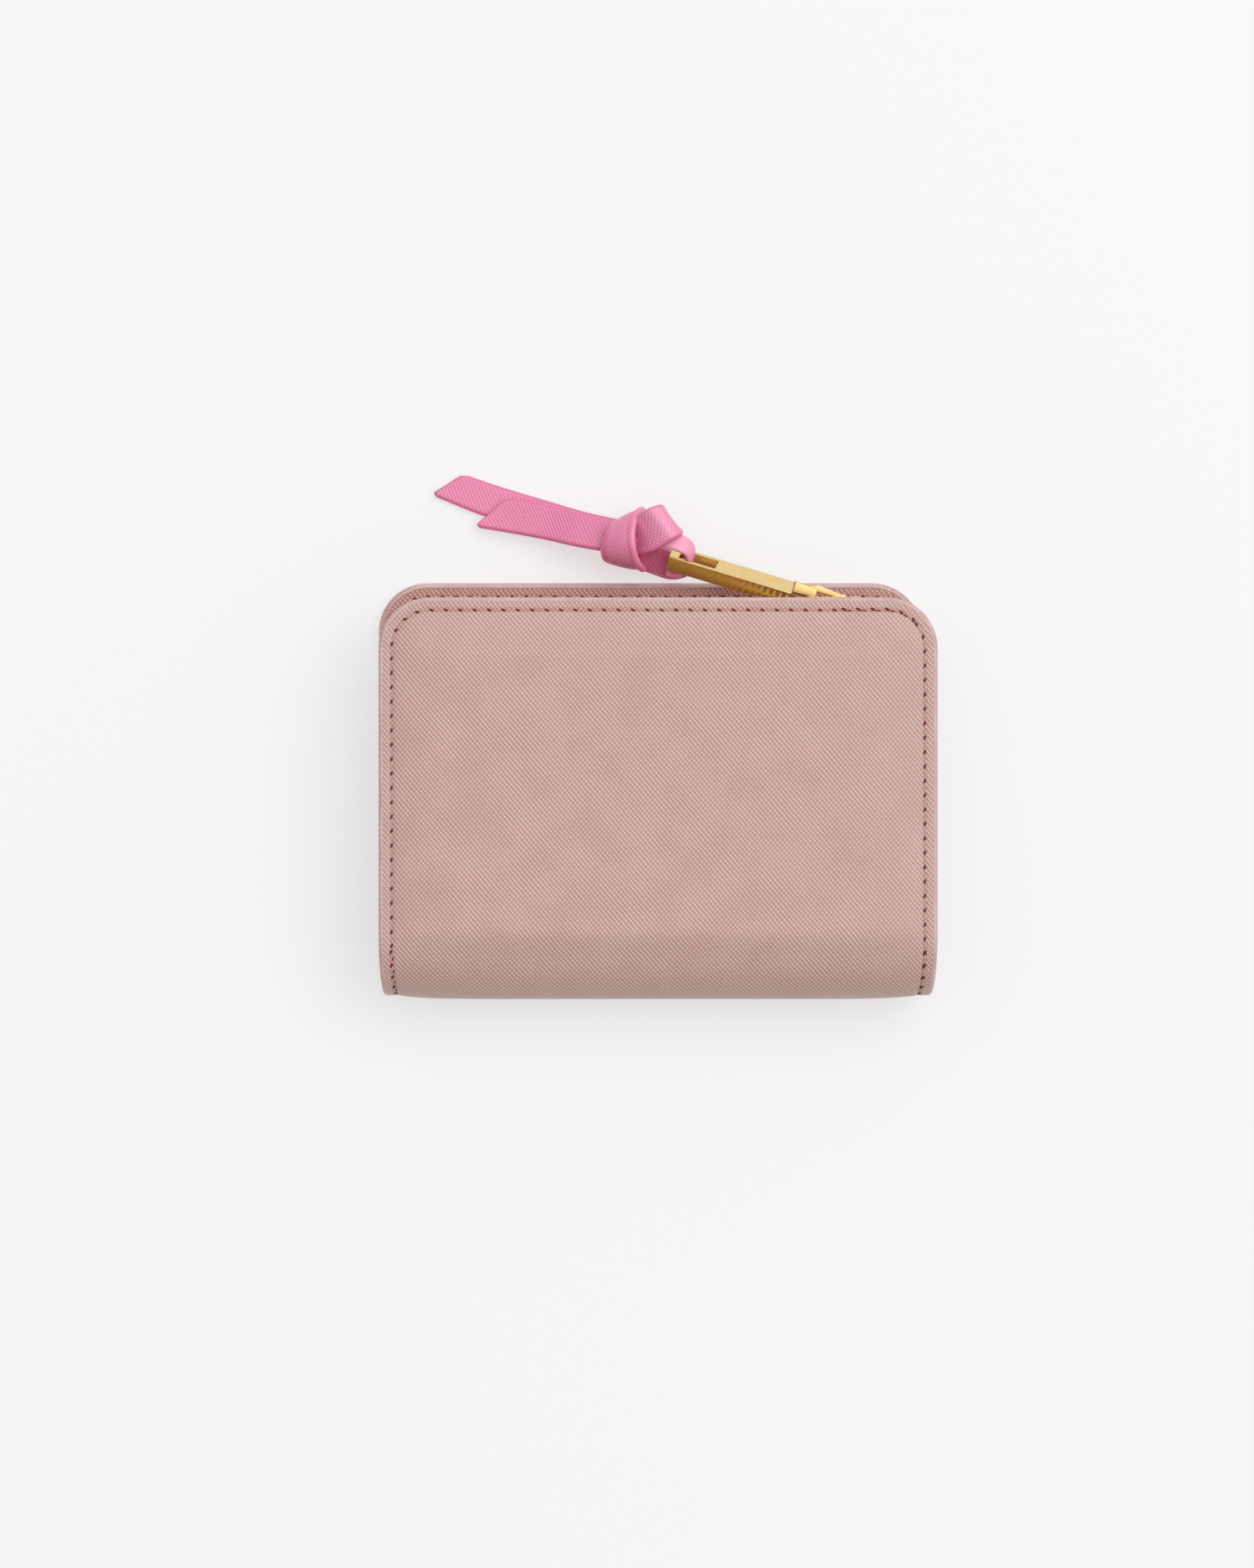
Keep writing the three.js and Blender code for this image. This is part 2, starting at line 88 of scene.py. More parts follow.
COVER_HIGH = box_mm("back_cover")[1]
FRONT_HIGH = box_mm("front_cover")[1]
SPINE_LOW, SPINE_HIGH = box_mm("spine_leather")
TEETH_LOW, TEETH_HIGH = box_mm("zip_teeth_outer")
TAPE_HIGH = box_mm("zip_tape_outer")[1]

HALF = COVER_HIGH[0]
SPINE_Y = SPINE_LOW[1]
BEND_Y = SPINE_HIGH[1]
TOP_Y = COVER_HIGH[1]
FRONT_Y = FRONT_HIGH[1]
MARGIN_Z = SPINE_HIGH[2]
CROWN_Z = COVER_HIGH[2]
MID_Z = MARGIN_Z / 2
CORNER = 10.5
LEAN = 0.0183
LEATHER = 1.2

# The padded back cover and the bulge of the spine between its pressed margins
CROWN = CROWN_Z - MARGIN_Z
PAD_RISE = 8.0
SPINE_BULGE = 0.8
SPINE_EASE = 0.5
SPINE_TUCK = 0.6

# Stitching
STITCH_PITCH = 2.96
STITCH_INSET = 2.65
HOLE_LONG = 0.6
HOLE_WIDE = 0.3
THREAD = 0.15
TOOTH_PITCH = 1.5

# The gold bar and its eye
EYE_REACH = 4.0
BAR_LONG = 26.5
BAR_WIDE = 4.6
BAR_THICK = 3.5
BAR_TOE = 1.4
BAR_TOE_LONG = 8.5
BAR_ARRIS = 0.24
BAR_HOOK = 0.6
SLOT_LONG = 7.9
SLOT_END_WALL = 1.5
SLOT_RAIL = 0.77


# Directions of the leather's two families of ridges, in degrees, and each one's share of the pitch
HATCH = ((40, 1.0), (-42, 0.9))

# The camera: its lens in millimetres and its place in metres
LENS = 78.41280
CAMERA_PLACE = (-0.0064, 0.00115, 0.724)

# The lit table in millimetres, and the lamp in metres and watts
FLOOR_REACH = 12000
FLOOR_DROP = 0.05
TABLE_GREY = (0.36, 0.36, 0.362)
TABLE_GLOW = 0.56
KEY_PLACE = (0.85, 0.7, 1.9)
KEY_SIZE = 2.3
KEY_POWER = 23.0

# Ceiling light: its brightest direction, then how far towards that a ray points and the
# strength there, low down and high up
CEILING_LEAN = (0.25, 0.42, 0.87)
WORLD_LOW = (-0.1, 0.22)
WORLD_HIGH = (0.8, 0.82)


# ---- Mesh helpers ----

def make_mesh(name, points, faces, uv=None):
    """A mesh object from points in millimetres, faces as index rows and one uv pair per point."""
    mesh = bpy.data.meshes.new(name)
    mesh.from_pydata((np.asarray(points, float) * MM).tolist(), [], [tuple(f) for f in faces])
    if uv is not None:
        layer = mesh.uv_layers.new(name="Hide")
        loops = np.zeros(len(mesh.loops), np.int32)
        mesh.loops.foreach_get("vertex_index", loops)
        layer.data.foreach_set("uv", np.asarray(uv, float)[loops].astype(np.float32).ravel())
    mesh.polygons.foreach_set("use_smooth", np.ones(len(mesh.polygons), bool))
    mesh.update()
    piece = bpy.data.objects.new(name, mesh)
    bpy.context.scene.collection.objects.link(piece)
    return piece


def grid_faces(rows, columns, close_rows=False, close_columns=False, start=0, flip=False):
    """Quads of a grid of points stored row by row."""
    r = np.arange(rows if close_rows else rows - 1)
    c = np.arange(columns if close_columns else columns - 1)
    r, c = np.meshgrid(r, c, indexing="ij")
    a = r * columns + c
    b = r * columns + (c + 1) % columns
    d = ((r + 1) % rows) * columns + c
    e = ((r + 1) % rows) * columns + (c + 1) % columns
    quads = np.stack([a, b, e, d], -1).reshape(-1, 4) + start
    return quads[:, ::-1] if flip else quads


def slab(name, top, bottom, uv):
    """A closed sheet: a grid of top points, a grid of bottom points under it, and side walls
    that join the two borders. Rows run along the sheet and columns across it."""
    rows, columns = top.shape[:2]
    count = rows * columns
    index = np.arange(count).reshape(rows, columns)
    rim = np.concatenate([index[0, :], index[1:, -1], index[-1, -2::-1], index[-2:0:-1, 0]])
    after = np.roll(rim, -1)
    wall = np.stack([rim, rim + count, after + count, after], -1)
    faces = np.concatenate([grid_faces(rows, columns), grid_faces(rows, columns, start=count, flip=True),
                            wall])
    points = np.concatenate([top.reshape(-1, 3), bottom.reshape(-1, 3)])
    return make_mesh(name, points, faces, np.concatenate([uv.reshape(-1, 2)] * 2))


def sweep(name, path, side, up, section):
    """A section carried along a path: each section point (a, b) goes to path + a*side + b*up.
    Both ends are closed with a fan."""
    n, m = len(path), section.shape[-2]
    if section.ndim == 2:
        section = np.broadcast_to(section, (n, m, 2))
    points = path[:, None] + section[..., :1] * side[:, None] + section[..., 1:] * up[:, None]
    along = np.concatenate([[0], np.cumsum(np.linalg.norm(np.diff(path, axis=0), axis=1))])
    around = np.concatenate([[0], np.cumsum(np.linalg.norm(np.diff(section[0], axis=0), axis=1))])
    uv = np.stack(np.broadcast_arrays(along[:, None], around[None]), -1).reshape(-1, 2) * UV_PER_MM
    points = points.reshape(-1, 3)
    points = np.concatenate([points, [points[:m].mean(0), points[-m:].mean(0)]])
    uv = np.concatenate([uv, uv[:1], uv[-1:]])
    ring = np.arange(m)
    after = (ring + 1) % m
    first = np.stack([ring, after, np.full(m, n * m)], -1)
    last = np.stack([after + (n - 1) * m, ring + (n - 1) * m, np.full(m, n * m + 1)], -1)
    walls = grid_faces(n, m, close_columns=True, flip=True).tolist()
    return outward(make_mesh(name, points, walls + first.tolist() + last.tolist(), uv))


def outward(piece):
    """Turns a closed mesh's faces so that its signed volume is positive."""
    mesh = piece.data
    mesh.calc_loop_triangles()
    co = np.zeros(len(mesh.vertices) * 3)
    mesh.vertices.foreach_get("co", co)
    co = co.reshape(-1, 3)
    tri = np.zeros(len(mesh.loop_triangles) * 3, np.int32)
    mesh.loop_triangles.foreach_get("vertices", tri)
    a, b, c = (co[tri.reshape(-1, 3)[:, k]] for k in range(3))
    if (np.cross(a, b) * c).sum() < 0:
        mesh.flip_normals()
    return piece


def spline_at(points, t):
    """The smooth curve through evenly spaced control points, at any array of t from 0 to 1."""
    p = np.asarray(points, float)
    p = np.concatenate([[2 * p[0] - p[1]], p, [2 * p[-1] - p[-2]]])
    s = np.clip(np.asarray(t) * (len(p) - 3), -0.5, len(p) - 2.5)
    i = np.clip(s.astype(int), 0, len(p) - 4)
    f = (s - i)[..., None]
    a, b, c, d = p[i], p[i + 1], p[i + 2], p[i + 3]
    return 0.5 * (2 * b + (c - a) * f + (2 * a - 5 * b + 4 * c - d) * f ** 2
                  + (3 * b - 3 * c + d - a) * f ** 3)


def unit(v):
    """Vectors scaled to length one."""
    return v / np.maximum(np.linalg.norm(v, axis=-1, keepdims=True), 1e-12)


def dense_near_ends(length, fine, coarse, reach):
    """Distances from 0 to length whose steps are fine within reach of both ends."""
    near = np.arange(0, reach, fine)
    middle = np.linspace(reach, length - reach, max(2, int((length - 2 * reach) / coarse)))
    return np.concatenate([near, middle, length - near[::-1]])


def finish(piece, material):
    """Gives a piece its material and the slot that it takes its finish from."""
    piece.data.materials.append(material)


# ---- Materials ----

class Shader:
    """A material's node tree, with one short call for each kind of node."""

    def __init__(self, name, base, roughness, metallic=0.0):
        self.material = bpy.data.materials.new(name)
        self.material.use_nodes = True
        self.nodes = self.material.node_tree.nodes
        self.links = self.material.node_tree.links
        self.bsdf = self.nodes["Principled BSDF"]
        self.bsdf.inputs["Base Color"].default_value = (*base, 1)
        self.bsdf.inputs["Roughness"].default_value = roughness
        self.bsdf.inputs["Metallic"].default_value = metallic
        self.material.diffuse_color = (*base, 1)

    def add(self, kind, **values):
        node = self.nodes.new(kind)
        for key, value in values.items():
            setattr(node, key, value)
        return node

    def put(self, value, socket):
        if isinstance(value, (int, float, tuple)):
            socket.default_value = value
        else:
            self.links.new(value, socket)

    def math(self, operation, a, b=0.0, c=0.0):
        node = self.add("ShaderNodeMath", operation=operation)
        for value, socket in zip((a, b, c), node.inputs):
            self.put(value, socket)
        return node.outputs[0]

    def mix(self, share, a, b):
        node = self.add("ShaderNodeMix", data_type="RGBA")
        self.put(share, node.inputs["Factor"])
        self.put(a, node.inputs[6])
        self.put(b, node.inputs[7])
        return node.outputs[2]

    def object_place(self):
        return self.add("ShaderNodeTexCoord").outputs["Object"]

    def hide_uv(self):
        return self.add("ShaderNodeUVMap", uv_map="Hide").outputs[0]

    def noise(self, vector, scale, detail=2.0, roughness=0.5):
        node = self.add("ShaderNodeTexNoise")
        self.links.new(vector, node.inputs["Vector"])
        node.inputs["Scale"].default_value = scale
        node.inputs["Detail"].default_value = detail
        node.inputs["Roughness"].default_value = roughness
        return node.outputs["Fac"]

    def bump(self, height, strength, distance):
        node = self.add("ShaderNodeBump")
        node.inputs["Strength"].default_value = strength
        node.inputs["Distance"].default_value = distance
        self.links.new(height, node.inputs["Height"])
        self.links.new(node.outputs[0], self.bsdf.inputs["Normal"])

    def separate(self, vector):
        node = self.add("ShaderNodeSeparateXYZ")
        self.links.new(vector, node.inputs[0])
        return node.outputs[0], node.outputs[1]

    def ramp(self, value, low, high):
        node = self.add("ShaderNodeMapRange", interpolation_type="SMOOTHSTEP")
        self.links.new(value, node.inputs["Value"])
        node.inputs["From Min"].default_value = low
        node.inputs["From Max"].default_value = high
        return node.outputs[0]


def srgb(r, g, b):
    """Linear colour from the usual 0 to 255 display values."""
    c = np.array([r, g, b]) / 255
    return tuple(float(x) for x in np.where(c <= 0.04045, c / 12.92, ((c + 0.055) / 1.055) ** 2.4))


def cross_hatch(s, vector, pitch):
    """Two families of pressed diagonal ridges: each is a raised cosine across its own direction,
    the first bolder than the second, and their product marks the crossings. Slow noise bends the
    lines and lets one family or the other come forward."""
    u, v = s.separate(vector)
    wobble = s.math("MULTIPLY_ADD", s.noise(vector, 2.6, 2.0), 1.6, -0.8)
    waves = []
    for angle, share in HATCH:
        c, d = math.cos(math.radians(angle)), math.sin(math.radians(angle))
        turn = 2 * math.pi / (pitch * share * UV_PER_MM)
        across = s.math("ADD", s.math("MULTIPLY", u, c * turn), s.math("MULTIPLY", v, d * turn))
        wave = s.math("COSINE", s.math("ADD", across, wobble))
        waves.append(s.math("MULTIPLY_ADD", wave, 0.5, 0.5))
    forward = s.math("MULTIPLY_ADD", s.noise(vector, 0.9, 2.0), 0.7, 0.05)
    bold = s.math("MULTIPLY", waves[0], forward)
    faint = s.math("MULTIPLY", waves[1], s.math("SUBTRACT", 0.55, forward))
    crossing = s.math("MULTIPLY", s.math("MULTIPLY", waves[0], waves[1]), 0.5)
    return s.math("ADD", s.math("ADD", bold, faint), crossing)


def saffiano(name, low, high, pitch, strength, roughness, coat=0.12, rim=None):
    """Cross-hatched coated leather: the ridges catch the light and the troughs hold the colour."""
    s = Shader(name, high, roughness)
    uv = s.hide_uv()
    height = cross_hatch(s, uv, pitch)
    patch = s.noise(uv, 1.2, 3.0)
    fine = s.noise(uv, 60.0, 2.0)
    tone = s.math("ADD", s.ramp(height, 0.12, 0.85), s.math("MULTIPLY", s.math("SUBTRACT", patch, 0.5), 0.5))
    face = s.mix(tone, (*low, 1), (*high, 1))
    if rim:
        away, _ = s.separate(s.add("ShaderNodeUVMap", uv_map="Rim").outputs[0])
        inside = s.ramp(away, 0.45, 0.75)
        face = s.mix(inside, (*rim, 1), face)
        height = s.math("MULTIPLY", height, inside)
    s.links.new(face, s.bsdf.inputs["Base Color"])
    s.links.new(s.math("MULTIPLY_ADD", fine, 0.18, roughness - 0.09), s.bsdf.inputs["Roughness"])
    s.bsdf.inputs["Specular IOR Level"].default_value = 0.42
    s.bsdf.inputs["Coat Weight"].default_value = coat
    s.bsdf.inputs["Coat Roughness"].default_value = 0.3
    s.bump(s.math("MULTIPLY_ADD", fine, 0.12, height), strength, 0.00028)
    return s.material


def edge_paint(name, color, darker):
    """Painted leather edge: smooth, satin, with slow brush marks."""
    s = Shader(name, color, 0.38)
    place = s.object_place()
    patch = s.noise(place, 180.0, 3.0)
    s.links.new(s.mix(s.ramp(patch, 0.3, 0.75), (*darker, 1), (*color, 1)), s.bsdf.inputs["Base Color"])
    s.bump(s.noise(place, 900.0, 2.0), 0.12, 0.0001)
    return s.material


def plain_fibre(name, low, high, scale, roughness=0.85, strength=0.3):
    """Board, thread or plain cloth: mottled and matt."""
    s = Shader(name, high, roughness)
    place = s.object_place()
    grain = s.noise(place, scale, 4.0, 0.65)
    s.links.new(s.mix(grain, (*low, 1), (*high, 1)), s.bsdf.inputs["Base Color"])
    s.bump(grain, strength, 0.0001)
    return s.material


def woven(name, low, high, pitch, roughness=0.8):
    """Twill cloth or tape: diagonal ribs crossed by the threads' own pitch."""
    s = Shader(name, high, roughness)
    uv = s.hide_uv()
    u, v = s.separate(uv)
    turn = 2 * math.pi / (pitch * UV_PER_MM)
    rib = s.math("COSINE", s.math("MULTIPLY", s.math("ADD", u, v), turn))
    weft = s.math("COSINE", s.math("MULTIPLY", u, turn * 2))
    height = s.math("MULTIPLY_ADD", s.math("ADD", rib, s.math("MULTIPLY", weft, 0.4)), 0.35, 0.5)
    s.links.new(s.mix(s.ramp(height, 0.1, 0.9), (*low, 1), (*high, 1)), s.bsdf.inputs["Base Color"])
    s.bsdf.inputs["Sheen Weight"].default_value = 0.25
    s.bump(height, 0.4, 0.00015)
    return s.material


def gold(name, roughness=0.24, low=srgb(228, 194, 124), high=srgb(244, 217, 160)):
    """Pale gold plate: near-mirror, with fine polishing lines and faint handling marks."""
    s = Shader(name, high, roughness, 1.0)
    place = s.object_place()
    marks = s.noise(place, 700.0, 3.0, 0.6)
    s.links.new(s.mix(marks, (*low, 1), (*high, 1)),
                s.bsdf.inputs["Base Color"])
    s.links.new(s.math("MULTIPLY_ADD", marks, 0.12, roughness - 0.06), s.bsdf.inputs["Roughness"])
    s.bump(s.noise(place, 1800.0, 2.0), 0.03, 0.00004)
    return s.material


ROSE = saffiano("rose_saffiano", srgb(187, 147, 138), srgb(223, 192, 183), 0.76, 0.5, 0.4)
# Inner leather: the rose saffiano with darker colours, painted shade matching the shaded strip of the far
# half seen past the near edge
ROSE_INNER_SHADE = saffiano("inner_saffiano_painted_shade", srgb(174, 122, 112), srgb(223, 180, 170), 0.8, 0.55, 0.46)
ROSE_EDGE = edge_paint("rose_edge_paint", srgb(212, 182, 180), srgb(198, 164, 162))
PINK = saffiano("strap_saffiano", srgb(228, 122, 164), srgb(244, 154, 188), 0.66, 0.4, 0.34, coat=0.3,
                rim=srgb(226, 118, 160))
# Fold of the strap: a glossier coat, and colours a little lighter as painted highlight for the bright streak
# along the fold
PINK_GLOSS = saffiano("strap_saffiano_glossy_painted_highlight", srgb(226, 124, 164), srgb(244, 158, 192), 0.62, 0.3, 0.26,
                      coat=0.8, rim=srgb(232, 124, 166))
# Lower loop and knot core: the strap leather with darker colours, painted shade inside and under the knot;
# its rim keeps the lighter edge paint
PINK_PAINTED_SHADE = saffiano("strap_saffiano_shaded", srgb(206, 96, 136), srgb(228, 126, 164), 0.62, 0.35, 0.4,
                     rim=srgb(242, 146, 184))
PINK_SMOOTH = edge_paint("strap_smooth_back", srgb(250, 180, 206), srgb(242, 158, 190))
PINK_EDGE = edge_paint("strap_edge_paint", srgb(244, 150, 186), srgb(234, 132, 170))
THREAD_MAT = plain_fibre("linen_thread", srgb(186, 134, 124), srgb(224, 180, 168), 3000.0, 0.6)
# Needle holes: dark red brown, painted shade for the depth of each hole
HOLE_SHADE_MAT = plain_fibre("needle_hole", srgb(92, 30, 32), srgb(124, 54, 54), 2000.0)
BOARD = plain_fibre("fibre_board", srgb(92, 82, 74), srgb(128, 116, 104), 1500.0)
CLOTH = woven("lining_twill", srgb(118, 88, 84), srgb(168, 136, 130), 0.5)
TAPE = woven("zip_tape_weave", srgb(150, 104, 98), srgb(196, 152, 146), 0.7)
GOLD = gold("gold_plate")
GOLD_TEETH = gold("gold_teeth", 0.34)
# Puller's eye and slider's bridge: rougher gold with a darker colour, painted shade that dims their
# reflection of the bright ceiling
GOLD_EYE = gold("gold_matt_painted_shade", 0.4, srgb(204, 168, 104), srgb(222, 190, 134))


# ---- Camera, floor and lights ----

def add_camera():
    """Straight down from above the wallet, as far as a long lens would stand."""
    data = bpy.data.cameras.new("camera")
    data.sensor_width = 36
    data.lens = LENS
    data.clip_end = 10
    camera = bpy.data.objects.new("camera", data)
    camera.location = CAMERA_PLACE
    bpy.context.scene.collection.objects.link(camera)
    bpy.context.scene.camera = camera


def add_floor():
    """A wide pale sheet just under the wallet."""
    steps = 41
    u = np.linspace(-FLOOR_REACH, FLOOR_REACH, steps)
    x, y = np.meshgrid(u, u)
    points = np.stack([x, y, 0 * x - FLOOR_DROP], -1).reshape(-1, 3)
    floor = make_mesh("floor", points, grid_faces(steps, steps))
    s = Shader("lit_table", TABLE_GREY, 0.85)
    s.bsdf.inputs["Emission Color"].default_value = (1.0, 1.0, 1.0, 1)
    s.bsdf.inputs["Emission Strength"].default_value = TABLE_GLOW
    s.bump(s.noise(s.object_place(), 900.0, 2.0), 0.02, 0.0001)
    floor.data.materials.append(s.material)


def add_key_lamp():
    """One broad soft disk of light, turned towards the wallet."""
    data = bpy.data.lights.new("key", "AREA")
    data.shape = "DISK"
    data.size = KEY_SIZE
    data.energy = KEY_POWER
    data.color = (1.0, 0.99, 0.98)
    light = bpy.data.objects.new("key", data)
    light.location = KEY_PLACE
    light.rotation_euler = Vector(KEY_PLACE).to_track_quat("Z", "Y").to_euler()
    bpy.context.scene.collection.objects.link(light)


def add_light_and_world():
    """A bright ceiling over dark low surroundings, with one broad soft lamp high to the right
    and beyond the wallet."""
    scene = bpy.context.scene
    scene.view_settings.view_transform = "Standard"
    world = bpy.data.worlds.new("studio")
    world.use_nodes = True
    tree = world.node_tree
    tree.nodes["Background"].inputs["Color"].default_value = (1.0, 1.0, 1.0, 1)
    place = tree.nodes.new("ShaderNodeTexCoord")
    tilt = tree.nodes.new("ShaderNodeVectorMath")
    tilt.operation = "DOT_PRODUCT"
    tilt.inputs[1].default_value = CEILING_LEAN
    ramp = tree.nodes.new("ShaderNodeMapRange")
    ramp.interpolation_type = "SMOOTHSTEP"
    ramp.inputs["From Min"].default_value = WORLD_LOW[0]
    ramp.inputs["From Max"].default_value = WORLD_HIGH[0]
    ramp.inputs["To Min"].default_value = WORLD_LOW[1]
    ramp.inputs["To Max"].default_value = WORLD_HIGH[1]
    tree.links.new(place.outputs["Generated"], tilt.inputs[0])
    tree.links.new(tilt.outputs["Value"], ramp.inputs["Value"])
    tree.links.new(ramp.outputs[0], tree.nodes["Background"].inputs["Strength"])
    scene.world = world
    add_key_lamp()


# ---- Leather panels ----

def spine_arc(count, side):
    """Points and normals of the side margin's quarter bend, from the flat panel (side 1 above,
    side -1 below) to the middle of the spine: y = bend - reach*sin(t), z = mid + side*rise*cos(t)."""
    t = np.linspace(0, math.pi / 2, count)
    reach = BEND_Y - SPINE_Y - SPINE_BULGE + 0.1
    y = BEND_Y - reach * np.sin(t)
    z = MID_Z + side * MID_Z * np.cos(t)
    normal = unit(np.stack([0 * t, -np.sin(t) / reach, side * np.cos(t) / MID_Z], -1))
    return y, z, normal


def panel_path(top_y, side, flat_steps):
    """The line down the middle of a half: from its free edge to the bend, then round the spine.
    Returns y, z, normals, arc lengths and the half-width of the panel on each row."""
    angle = np.linspace(math.pi / 2, 0, 26)
    corner = top_y - CORNER + CORNER * np.sin(angle)
    rim = top_y - np.array([0.12, 0.3, 0.5, 0.75, 1.05, 1.4, 1.8, 2.2, 2.6, 3.1])
    flat = np.linspace(top_y - CORNER, BEND_Y, flat_steps)[1:-1]
    ys = np.unique(np.round(np.concatenate([corner, rim, flat]), 4))[::-1]
    arc_y, arc_z, arc_n = spine_arc(44, side)
    flat_z = MARGIN_Z if side > 0 else 0.0
    y = np.concatenate([ys, arc_y])
    z = np.concatenate([np.full(len(ys), flat_z), arc_z])
    normal = np.concatenate([np.tile([0, 0, float(side)], (len(ys), 1)), arc_n])
    arc = np.concatenate([[0], np.cumsum(np.hypot(np.diff(y), np.diff(z)))])
    past = np.clip(top_y - CORNER - y, None, 0)
    half = HALF - CORNER + np.sqrt(np.clip(CORNER ** 2 - past ** 2, 0, None))
    turn = np.clip((BEND_Y - y) / (BEND_Y - SPINE_Y), 0, 1)
    return y, z, normal, arc, half - SPINE_TUCK * turn ** 3


def edge_distance(x, y, half, top_y):
    """How far a point is inside the panel's outline, with its rounded corners."""
    side = half - np.abs(x)
    top = top_y - y
    dx = np.clip(np.abs(x) - (HALF - CORNER), 0, None)
    dy = np.clip(y - (top_y - CORNER), 0, None)
    corner = CORNER - np.hypot(dx, dy)
    in_corner = (dx > 0) & (dy > 0)
    return np.where(in_corner, corner, np.minimum(side, np.where(y > top_y - CORNER, top, side)))


def smoothstep(t):
    """3t^2 - 2t^3 between 0 and 1."""
    t = np.clip(t, 0, 1)
    return t * t * (3 - 2 * t)


def pad_height(d, flat_height):
    """Height of the padded face over its margin: a stitched groove, then a swell to the crown."""
    groove = -0.24 * np.exp(-((d - STITCH_INSET) / 0.34) ** 2)
    edge = -0.3 * np.clip(1 - d / 1.0, 0, 1) ** 2
    swell = flat_height * (1 - np.exp(-np.clip(d - STITCH_INSET - 0.2, 0, None) / PAD_RISE * 1.6))
    return groove + edge + swell


def half_panel(name, top_y, side, crown, replaces):
    """The outer leather of one half and of its quarter of the spine, as one closed sheet. Across,
    x = u * half-width; along, the panel's path; the height over it depends on the distance to
    the stitched edge."""
    y, z, normal, arc, half = panel_path(top_y, side, 54)
    across = dense_near_ends(2 * HALF, 0.32, 1.6, 5.2) / HALF - 1
    x = across[None] * half[:, None]
    yy = np.broadcast_to(y[:, None], x.shape)
    d = edge_distance(x, yy, half[:, None], top_y)
    turn = np.clip((BEND_Y - yy) / (BEND_Y - SPINE_Y), 0, 1)
    bulge = crown + (SPINE_EASE - crown) * smoothstep(turn / 0.4)
    bulge = bulge + (SPINE_BULGE - SPINE_EASE) * smoothstep((turn - 0.4) / 0.6) * (crown > 0)
    lift = pad_height(d, bulge)
    lift = lift + 0.05 * np.sin(x / 17 + 1.1) * np.cos(yy / 23) * smoothstep((d - 4) / 6)
    lean = LEAN * (yy - SPINE_Y) * (side < 0)
    base = np.stack([x - lean, yy, np.broadcast_to(z[:, None], x.shape)], -1)
    top = base + lift[..., None] * normal[:, None]
    bottom = base - LEATHER * normal[:, None]
    uv = np.stack([x, np.broadcast_to(-arc[:, None], x.shape)], -1) * UV_PER_MM
    piece = slab(name, top, bottom, uv)
    outward(piece)
    finish(piece, ROSE)
    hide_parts(*replaces)
    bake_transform(piece)
    return piece


def outline_path(top_y, side, inset, step=0.9):
    """The stitch or edge line of a half, from the middle of the spine on the left, up the side,
    round the corners and down to the spine on the right. Returns places, the outward direction
    in the sheet and the sheet's normal."""
    arc_y, arc_z, arc_n = spine_arc(30, side)
    turn = np.clip((BEND_Y - arc_y) / (BEND_Y - SPINE_Y), 0, 1)
    half = HALF - SPINE_TUCK * turn ** 3 - inset
    right_spine = np.stack([half, arc_y, arc_z], -1)
    radius = CORNER - inset
    flat_z = MARGIN_Z if side > 0 else 0.0
    ys = np.arange(BEND_Y + step, top_y - CORNER - step / 2, step)
    right_side = np.stack([np.full(len(ys), HALF - inset), ys, np.full(len(ys), flat_z)], -1)
    angle = np.linspace(0, math.pi / 2, 20)
    right_corner = np.stack([HALF - CORNER + radius * np.cos(angle),
                             top_y - CORNER + radius * np.sin(angle), np.full(20, flat_z)], -1)
    xs = np.arange(HALF - CORNER - step, -(HALF - CORNER) + step / 2, -step)
    top = np.stack([xs, np.full(len(xs), top_y - inset), np.full(len(xs), flat_z)], -1)
    right = np.concatenate([right_spine[::-1], right_side, right_corner])
    left = right[::-1] * [-1, 1, 1]
    path = np.concatenate([right, top, left])
    normal_half = np.concatenate([arc_n[::-1], np.tile([0, 0, float(side)],
                                                       (len(right_side) + len(right_corner), 1))])
    normal = np.concatenate([normal_half, np.tile([0, 0, float(side)], (len(top), 1)),
                             normal_half[::-1]])
    along = unit(np.gradient(path, axis=0))
    out = unit(np.cross(along, normal))
    if side < 0:
        out = -out
        path = path - np.stack([LEAN * (path[:, 1] - SPINE_Y), 0 * path[:, 0], 0 * path[:, 0]], -1)
    return path, out, normal


def edge_band(name, top_y, side, section):
    """The painted edge of a half: a rounded section carried along the outline."""
    path, out, normal = outline_path(top_y, side, 0.0)
    piece = sweep(name, path, out, normal, section)
    finish(piece, ROSE_EDGE)
    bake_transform(piece)
    return piece


# Sections of the painted edges: how far out from the outline, and how high over the flat margin
NEAR_EDGE = np.array([[-1.05, -0.3], [-0.92, -0.06], [-0.7, 0.02], [-0.4, -0.04], [-0.15, -0.22],
                      [0.0, -0.55], [0.06, -1.1], [0.0, -1.65], [-0.2, -2.0], [-0.5, -2.2], [-1.3, -2.3],
                      [-1.7, -1.3]])
FAR_EDGE = np.array([[-1.6, -2.7], [-1.3, -2.96], [-1.16, -3.12], [-0.9, -3.16], [-0.55, -2.96],
                     [-0.25, -2.5], [-0.04, -1.9], [0.0, -1.4], [-0.05, -0.9], [-0.3, -0.35],
                     [-0.7, -0.05], [-1.2, 0.0], [-1.8, 0.0], [-2.3, -1.3]])


